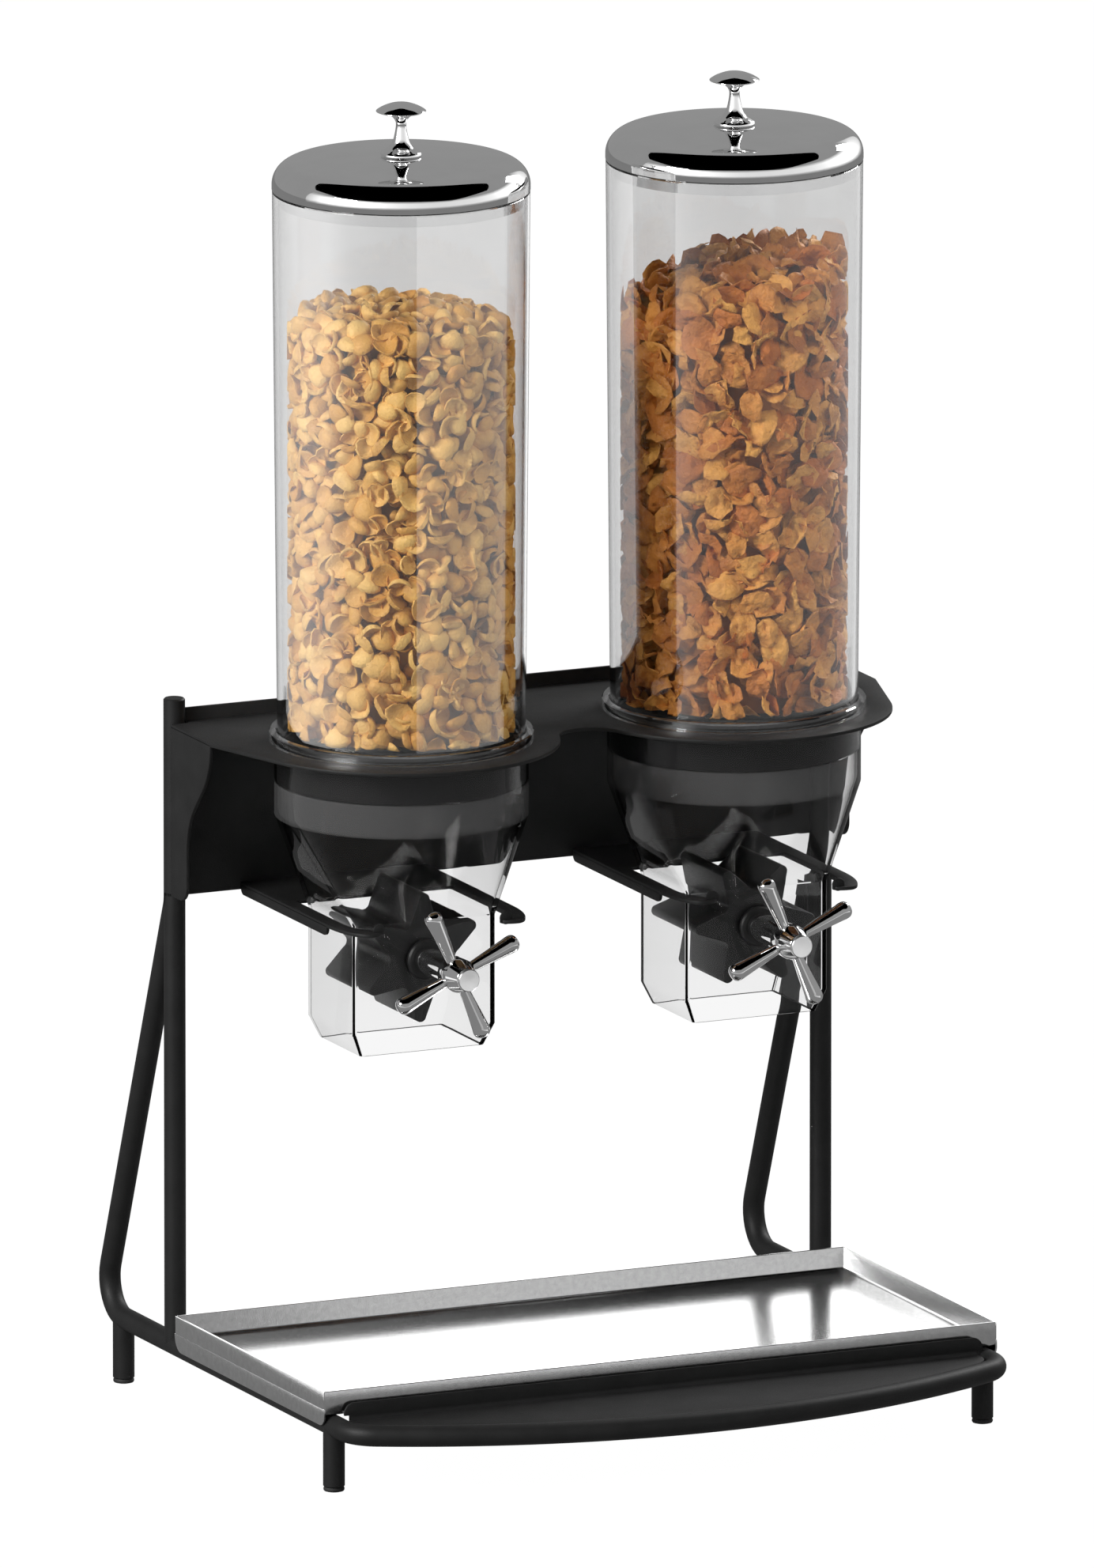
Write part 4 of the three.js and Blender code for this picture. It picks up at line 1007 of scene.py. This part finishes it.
def dough_flake(rng):
    """A thin curled flake with an uneven outline and blisters."""
    radius = rng.uniform(8.0, 12.5)
    curl = rng.uniform(0.015, 0.045)
    twist = rng.uniform(-0.03, 0.03)
    waves = [(n, rng.uniform(0.03, 0.08), rng.uniform(0, 6.28)) for n in (2, 3, 5)]
    origin = Vector((rng.uniform(0, 50), rng.uniform(0, 50), 0))

    def place(turn, out, up):
        uneven = 1 + sum(a * math.sin(n * turn + p) for n, a, p in waves)
        x, y = polar(radius * out * uneven, turn)
        y *= 0.78
        blister = noise.noise(Vector((x, y, 0)) * 0.3 + origin) * 3.6
        return x, y, up + curl * x * x + twist * x * y + blister - 1.5

    levels = [  # heights are off the middle
        (0.22, -0.45, 0.1), (0.5, -0.45, 0.15), (0.76, -0.4, 0.3), (0.98, -0.2, 1.0),
        (0.98, 0.2, 1.0), (0.76, 0.45, 0.3), (0.5, 0.5, 0.15), (0.22, 0.5, 0.1),
    ]
    return dough(levels, place)


def scatter(name, kinds, material, side, places, top_z, seed):
    """Puts a dough piece in each place round the canister's axis; each lies in its own way."""
    rng = random.Random(seed)
    points, faces, marks = [], [], []
    total = 0
    for radius, height, angle, tilt in places(rng, top_z):
        shape, shape_faces = kinds[rng.randrange(len(kinds))]
        spin = Matrix.Rotation(rng.uniform(0, 2 * math.pi), 3, "Z")
        nod = Matrix.Rotation(rng.gauss(0, tilt), 3, "X")
        lean = nod @ Matrix.Rotation(rng.gauss(0, tilt), 3, "Y")
        flip = Matrix.Rotation(math.pi if rng.random() < 0.5 else 0.0, 3, "X")
        out = Vector((math.cos(angle), math.sin(angle), 0))
        face_out = Vector((0, 0, 1)).rotation_difference(out).to_matrix()
        if radius < LYING_R:
            face_out = Matrix.Identity(3)
        turn = np.array(face_out @ lean @ spin @ flip)
        placed = shape[:, :3] @ turn.T * rng.uniform(0.86, 1.12)
        placed += np.array([out.x * radius, out.y * radius, height])
        reach = np.hypot(placed[:, 0], placed[:, 1])
        placed[:, :2] /= np.maximum(reach / CEREAL_R, 1.0)[:, None]
        placed[:, 2] = np.maximum(placed[:, 2], CEREAL_BOTTOM_Z)
        placed[:, :2] += (SIDES[side] * AXIS_X, AXIS_Y)
        own, patch = rng.random(), rng.random()
        points.append(placed)
        marks += [(tone, own, patch, 1.0) for tone in shape[:, 3]]
        faces += [tuple(i + total for i in f) for f in shape_faces]
        total += len(placed)
    mesh = bpy.data.meshes.new(name)
    mesh.from_pydata((np.concatenate(points) * MM).tolist(), [], faces)
    bake = mesh.color_attributes.new("bake", "FLOAT_COLOR", "POINT")
    bake.data.foreach_set("color", [c for m in marks for c in m])
    finish_mesh(name, mesh, material, f"canister_{side}", sharp=80)


def drum(radius, pitch_z, pitch_along, tilt, margin):
    """Places for pieces against the wall, from the bottom up to the fill's surface."""

    def places(rng, top_z):
        height = CEREAL_BOTTOM_Z + pitch_z * 0.4
        found = []
        row = 0
        count = int(2 * math.pi * radius / pitch_along)
        while height < FILL_LIMIT_Z:
            for k in range(count):
                angle = 2 * math.pi * (k + 0.5 * (row % 2) + rng.uniform(-0.35, 0.35)) / count
                z = height + rng.uniform(-0.4, 0.4) * pitch_z
                if z < top_z(angle, radius) - margin:
                    found.append((radius + rng.uniform(-1.6, 1.6), z, angle, tilt))
            height += pitch_z
            row += 1
        return found

    return places


def heap(pitch, tilt):
    """Places for pieces over the fill's upper surface."""

    def places(rng, top_z):
        found = []
        radius = 3.0
        while radius < CEREAL_R - 5:
            count = max(int(2 * math.pi * radius / pitch), 3)
            for k in range(count):
                angle = 2 * math.pi * (k + rng.uniform(-0.3, 0.3)) / count
                z = top_z(angle, radius) - rng.uniform(0, 5)
                found.append((radius, z, angle, tilt))
            radius += pitch * 0.85
        return found

    return places


def fill_top(middle_z, slope, sag):
    """The fill's surface: how high it is in a direction and at a distance from the axis."""

    def top_z(angle, radius):
        share = radius / CEREAL_R
        return middle_z + slope * math.cos(angle) * share - sag * share**2

    return top_z


def shaded_core(top_z):
    """The mass behind the pieces, with a rough skin; its darker colour is painted shade for the deep
    gaps between them.
    """
    turns = circle_turns(72)
    steps = 24
    rings = []
    for step in range(steps + 1):
        ring = []
        for turn in turns:
            high = top_z(turn, 50) - CORE_DEPTH
            z = CEREAL_BOTTOM_Z + 0.5 + (high - CEREAL_BOTTOM_Z) * (step / steps)
            bump = noise.noise(Vector((*polar(9, turn), z * 0.13)))
            ring.append((*polar(CORE_R + 2.5 * bump, turn), z))
        rings.append(ring)
    high = [top_z(turn, 25) - CORE_DEPTH for turn in turns]
    rings.append([(p[0] / 2, p[1] / 2, h) for p, h in zip(rings[-1], high)])
    rings.append([(p[0] / 50, p[1] / 50, top_z(0, 0) - CORE_DEPTH) for p in rings[-2]])
    return skin(rings)


FILLS = {  # piece, its material, the core's, slot, surface, seed of the kinds, pitches, tilt
    "left": (dough_shell, PALE, PALE_SHADED_CORE, "pale_cereal", fill_top(630, -3, 9), 11, 9.2, 9.6, 0.6),
    "right": (
        dough_flake, AMBER, AMBER_SHADED_CORE, "amber_cereal", fill_top(634, 14, 7), 23, 11.5, 12.5, 0.55
    ),
}

for side, (make, material, crumb, slot, top_z, kinds_seed, upward, along, tilt) in FILLS.items():
    rng = random.Random(kinds_seed)
    kinds = [make(rng) for _ in range(KINDS)]
    look = (crumb, f"canister_{side}", slot)
    # the core's darker colour is painted shade between the pieces
    twin("crumb", side, shaded_core(top_z), look, "cereal", AXIS_Y, sharp=80)
    looser = (upward * INNER_LOOSENESS, along * INNER_LOOSENESS)
    layers = {  # its places, and the seed of how its pieces lie
        "outer": (drum(OUTER_LAYER_R, upward, along, tilt, 3), 101),
        "inner": (drum(INNER_LAYER_R, *looser, tilt, 5), 202),
        "top": (heap(along, 0.6), 303),
    }
    for layer, (places, seed) in layers.items():
        scatter(f"cereal_{layer}_{side}", kinds, material, side, places, top_z, seed)

# -------- studio

AZIMUTH = -24.42
ELEVATION = 12.64
LOOK_AT = Vector((-0.0032, 0.0288, 0.3484))
LENS = 1150.0  # long enough for parallel edges to stay parallel
SENSOR = 36.0
FRAME_HEIGHT = 0.8592
LAMPS_FACE = Vector((0, 0, 0.4))
FLOOR_REACH = 14.0
FLOOR_SEEN, FLOOR_IN_MIRRORS, FLOOR_ON_MATT = 1.0, 0.2, 0.4
SURROUND = 0.29
FLAG_Z = 2.6

# Glow across each curved card, from its start to its end
LEFT_GLOW = (0.1, 0.6, 2.0, 4.8, 4.4, 2.1, 0.6, 0.1)
RIGHT_GLOW = (2.5, 2.3, 1.6, 1.2)
FAR_RIGHT_GLOW = (0.0, 0.5, 0.9, 0.8, 0.6)
LID_GLOW = (0.3, 1.3, 1.5, 0.8, 0.55, 0.5, 0.55, 0.7, 1.2, 1.3, 0.4)
HANDLE_GLOW = (0.9, 0.4, 0.2, 0.6)
TRAY_GLOW = (1.0, 1.0, 1.0, 1.0, 1.0, 0.45, 0.45, 0.45, 0.45)

# Heights in metres, and the share of the glow at each
LOW_ROWS = [(-0.15, 0), (0.0, 1), (0.5, 1), (0.65, 0)]
LID_ROWS = [(0.5, 0), (0.75, 1), (1.2, 1), (1.5, 0)]
TALL_ROWS = [(-0.4, 1), (0.6, 1)]
HANDLE_ROWS = [(-0.3, 1), (0.2, 1)]
TRAY_ROWS = [(0.0, 2.6), (1.2, 2.5), (2.4, 1.6), (3.6, 1.0), (6.0, 0.3)]
TRAY_FRONT_ROWS = [(0.2, 0), (0.5, 1), (1.0, 1), (1.4, 0)]


def direction(azimuth, elevation):
    """From the object, with azimuth measured from the camera's side, positive to its right."""
    a = math.radians(AZIMUTH + azimuth)
    e = math.radians(elevation)
    return Vector((math.sin(a) * math.cos(e), -math.cos(a) * math.cos(e), math.sin(e)))


def aim(made, target, azimuth, elevation, distance):
    """Puts a camera or lamp at a distance from its target, facing it."""
    away = direction(azimuth, elevation)
    made.location = target + away * distance
    made.rotation_euler = away.to_track_quat("Z", "Y").to_euler()


camera_data = bpy.data.cameras.new("camera")
camera_data.lens = LENS
camera_data.sensor_width = SENSOR
camera_data.clip_end = 200
camera = link_object("camera", camera_data)
aim(camera, LOOK_AT, 0, ELEVATION, FRAME_HEIGHT * LENS / SENSOR)
bpy.context.scene.camera = camera


def area_light(name, azimuth, elevation, distance, width, height, power):
    data = bpy.data.lights.new(name, "AREA")
    data.shape = "RECTANGLE"
    data.size = width
    data.size_y = height
    data.energy = power
    lamp = link_object(name, data)
    aim(lamp, LAMPS_FACE, azimuth, elevation, distance)
    return lamp


area_light("key", -54, 22, 2.6, 0.9, 0.9, 75)
area_light("fill", 50, 40, 3.2, 1.6, 1.2, 40).visible_glossy = False
area_light("rim", 141, 29, 2.8, 0.8, 0.8, 40)


def prop(name, points, faces, material):
    """Adds a mesh that isn't part of the object."""
    mesh = bpy.data.meshes.new(name)
    mesh.from_pydata(points, [], faces)
    mesh.materials.append(material)
    made = link_object(name, mesh)
    return made


def show_only_in_mirrors(made):
    made.visible_camera = False
    made.visible_transmission = False
    made.visible_diffuse = False
    made.visible_shadow = False


def seen_directly(tree):
    """1 for what the camera sees, straight or through clear plastic, and 0 for the rest."""
    path = node(tree, "LightPath").outputs
    return maths(tree, "MAXIMUM", path["Is Camera Ray"], path["Is Transmission Ray"])


def finish_glowing(tree, strength, under):
    """Ends a material that glows on top of another shader."""
    glow = node(tree, "Emission", {"Color": grey(1.0), "Strength": strength}).outputs[0]
    both = node(tree, "AddShader", {0: glow, 1: under.outputs[0]}).outputs[0]
    node(tree, "OutputMaterial", {"Surface": both})


floor_material, tree = new_material("white_floor")
in_mirrors = node(tree, "LightPath").outputs["Is Glossy Ray"]
change = FLOOR_IN_MIRRORS - FLOOR_ON_MATT
unseen = maths(tree, "MULTIPLY_ADD", in_mirrors, change, FLOOR_ON_MATT)
level = node(tree, "Mix", {0: seen_directly(tree), 2: unseen, 3: FLOOR_SEEN}).outputs[0]
finish_glowing(tree, level, node(tree, "BsdfDiffuse", {"Color": grey(0.02)}))
corners = [(x * FLOOR_REACH, y * FLOOR_REACH, 0) for x, y in ((-1, -1), (1, -1), (1, 1), (-1, 1))]
prop("floor", corners, [(0, 1, 2, 3)], floor_material)


def curved_card(name, start, end, radius, rows, levels, lit):
    """A glowing screen bent round the object that only adds light.

    Its brightness runs through levels from start to end, times the share given with each
    height in rows, and only pieces whose names start with one of lit reflect it.
    """
    steps = 24
    across = np.interp(np.linspace(0, 1, steps + 1), np.linspace(0, 1, len(levels)), levels)
    points, faces, glows = [], [], []
    for r, (height, share) in enumerate(rows):
        for s in range(steps + 1):
            out = direction(start + (end - start) * s / steps, 0) * radius
            points.append((out.x, out.y, height))
            glows.append(float(across[s]) * share)
            if r and s:
                last = len(points) - 1
                faces.append((last, last - 1, last - steps - 2, last - steps - 1))
    material, tree = new_material(name)
    level = node(tree, "Attribute", attribute_name="glow").outputs["Fac"]
    finish_glowing(tree, level, node(tree, "BsdfTransparent", {"Color": grey(1.0)}))
    card = prop(name, points, faces, material)
    card.data.attributes.new("glow", "FLOAT", "POINT").data.foreach_set("value", glows)
    show_only_in_mirrors(card)
    shown = bpy.data.collections.new(name + "_shown_in")
    for made in bpy.context.scene.objects:
        if made.name.startswith(lit):
            shown.objects.link(made)
    card.light_linking.receiver_collection = shown


curved_card("left_card", -5, -155, 1.5, LOW_ROWS, LEFT_GLOW, ("clear_tube",))
curved_card("right_card_a", 10, 170, 1.5, LOW_ROWS, RIGHT_GLOW, ("clear_tube_left",))
curved_card("right_card_b", 5, 150, 1.5, LOW_ROWS, FAR_RIGHT_GLOW, ("clear_tube_right",))
curved_card("lid_card", -90, 160, 1.5, LID_ROWS, LID_GLOW, ("chrome_lid", "chrome_knob"))
curved_card("disc_card", 10, 90, 1.0, TALL_ROWS, (1.0, 1.0), ("satin_disc",))
curved_card("handle_card", -90, 90, 1.2, HANDLE_ROWS, HANDLE_GLOW, ("chrome_hub", "arm_"))
curved_card("tray_card", 100, 300, 3.0, TRAY_ROWS, TRAY_GLOW, ("tray_pan",))
curved_card("tray_front_card", -10, 60, 3.0, TRAY_FRONT_ROWS, (0.4, 0.4), ("tray_pan",))


def ceiling():
    """A black flag overhead, seen only in mirrors."""
    rows = [(3.2, 3.2), (-0.3, 2.6), (-1.2, 1.25)]  # metres to the front, half width
    near = [direction(0, 0) * front + direction(90, 0) * wide for front, wide in rows]
    far = [direction(0, 0) * front - direction(90, 0) * wide for front, wide in reversed(rows)]
    corners = [(c.x, c.y, FLAG_Z) for c in near + far]
    material, tree = new_material("black_flag")
    dark = node(tree, "Emission", {"Color": grey(0.0), "Strength": 0.0})
    node(tree, "OutputMaterial", {"Surface": dark.outputs[0]})
    show_only_in_mirrors(prop("ceiling", corners, [tuple(range(len(corners)))], material))


ceiling()

world = bpy.data.worlds.new("studio")
bpy.context.scene.world = world
world.use_nodes = True
tree = world.node_tree
tree.nodes.clear()
backdrop = node(tree, "Background", {"Color": grey(1.0), "Strength": 1.0}).outputs[0]
surround = node(tree, "Background", {"Color": grey(SURROUND), "Strength": 1.0}).outputs[0]
both = mixed(tree, seen_directly(tree), surround, backdrop)
node(tree, "OutputWorld", {"Surface": both})

scene = bpy.context.scene
scene.view_settings.view_transform = "Standard"
scene.view_settings.look = "None"
cycles = scene.cycles
cycles.transparent_max_bounces = 24
cycles.max_bounces = 16
cycles.transmission_bounces = 16
cycles.glossy_bounces = 8
cycles.caustics_reflective = False
cycles.caustics_refractive = False
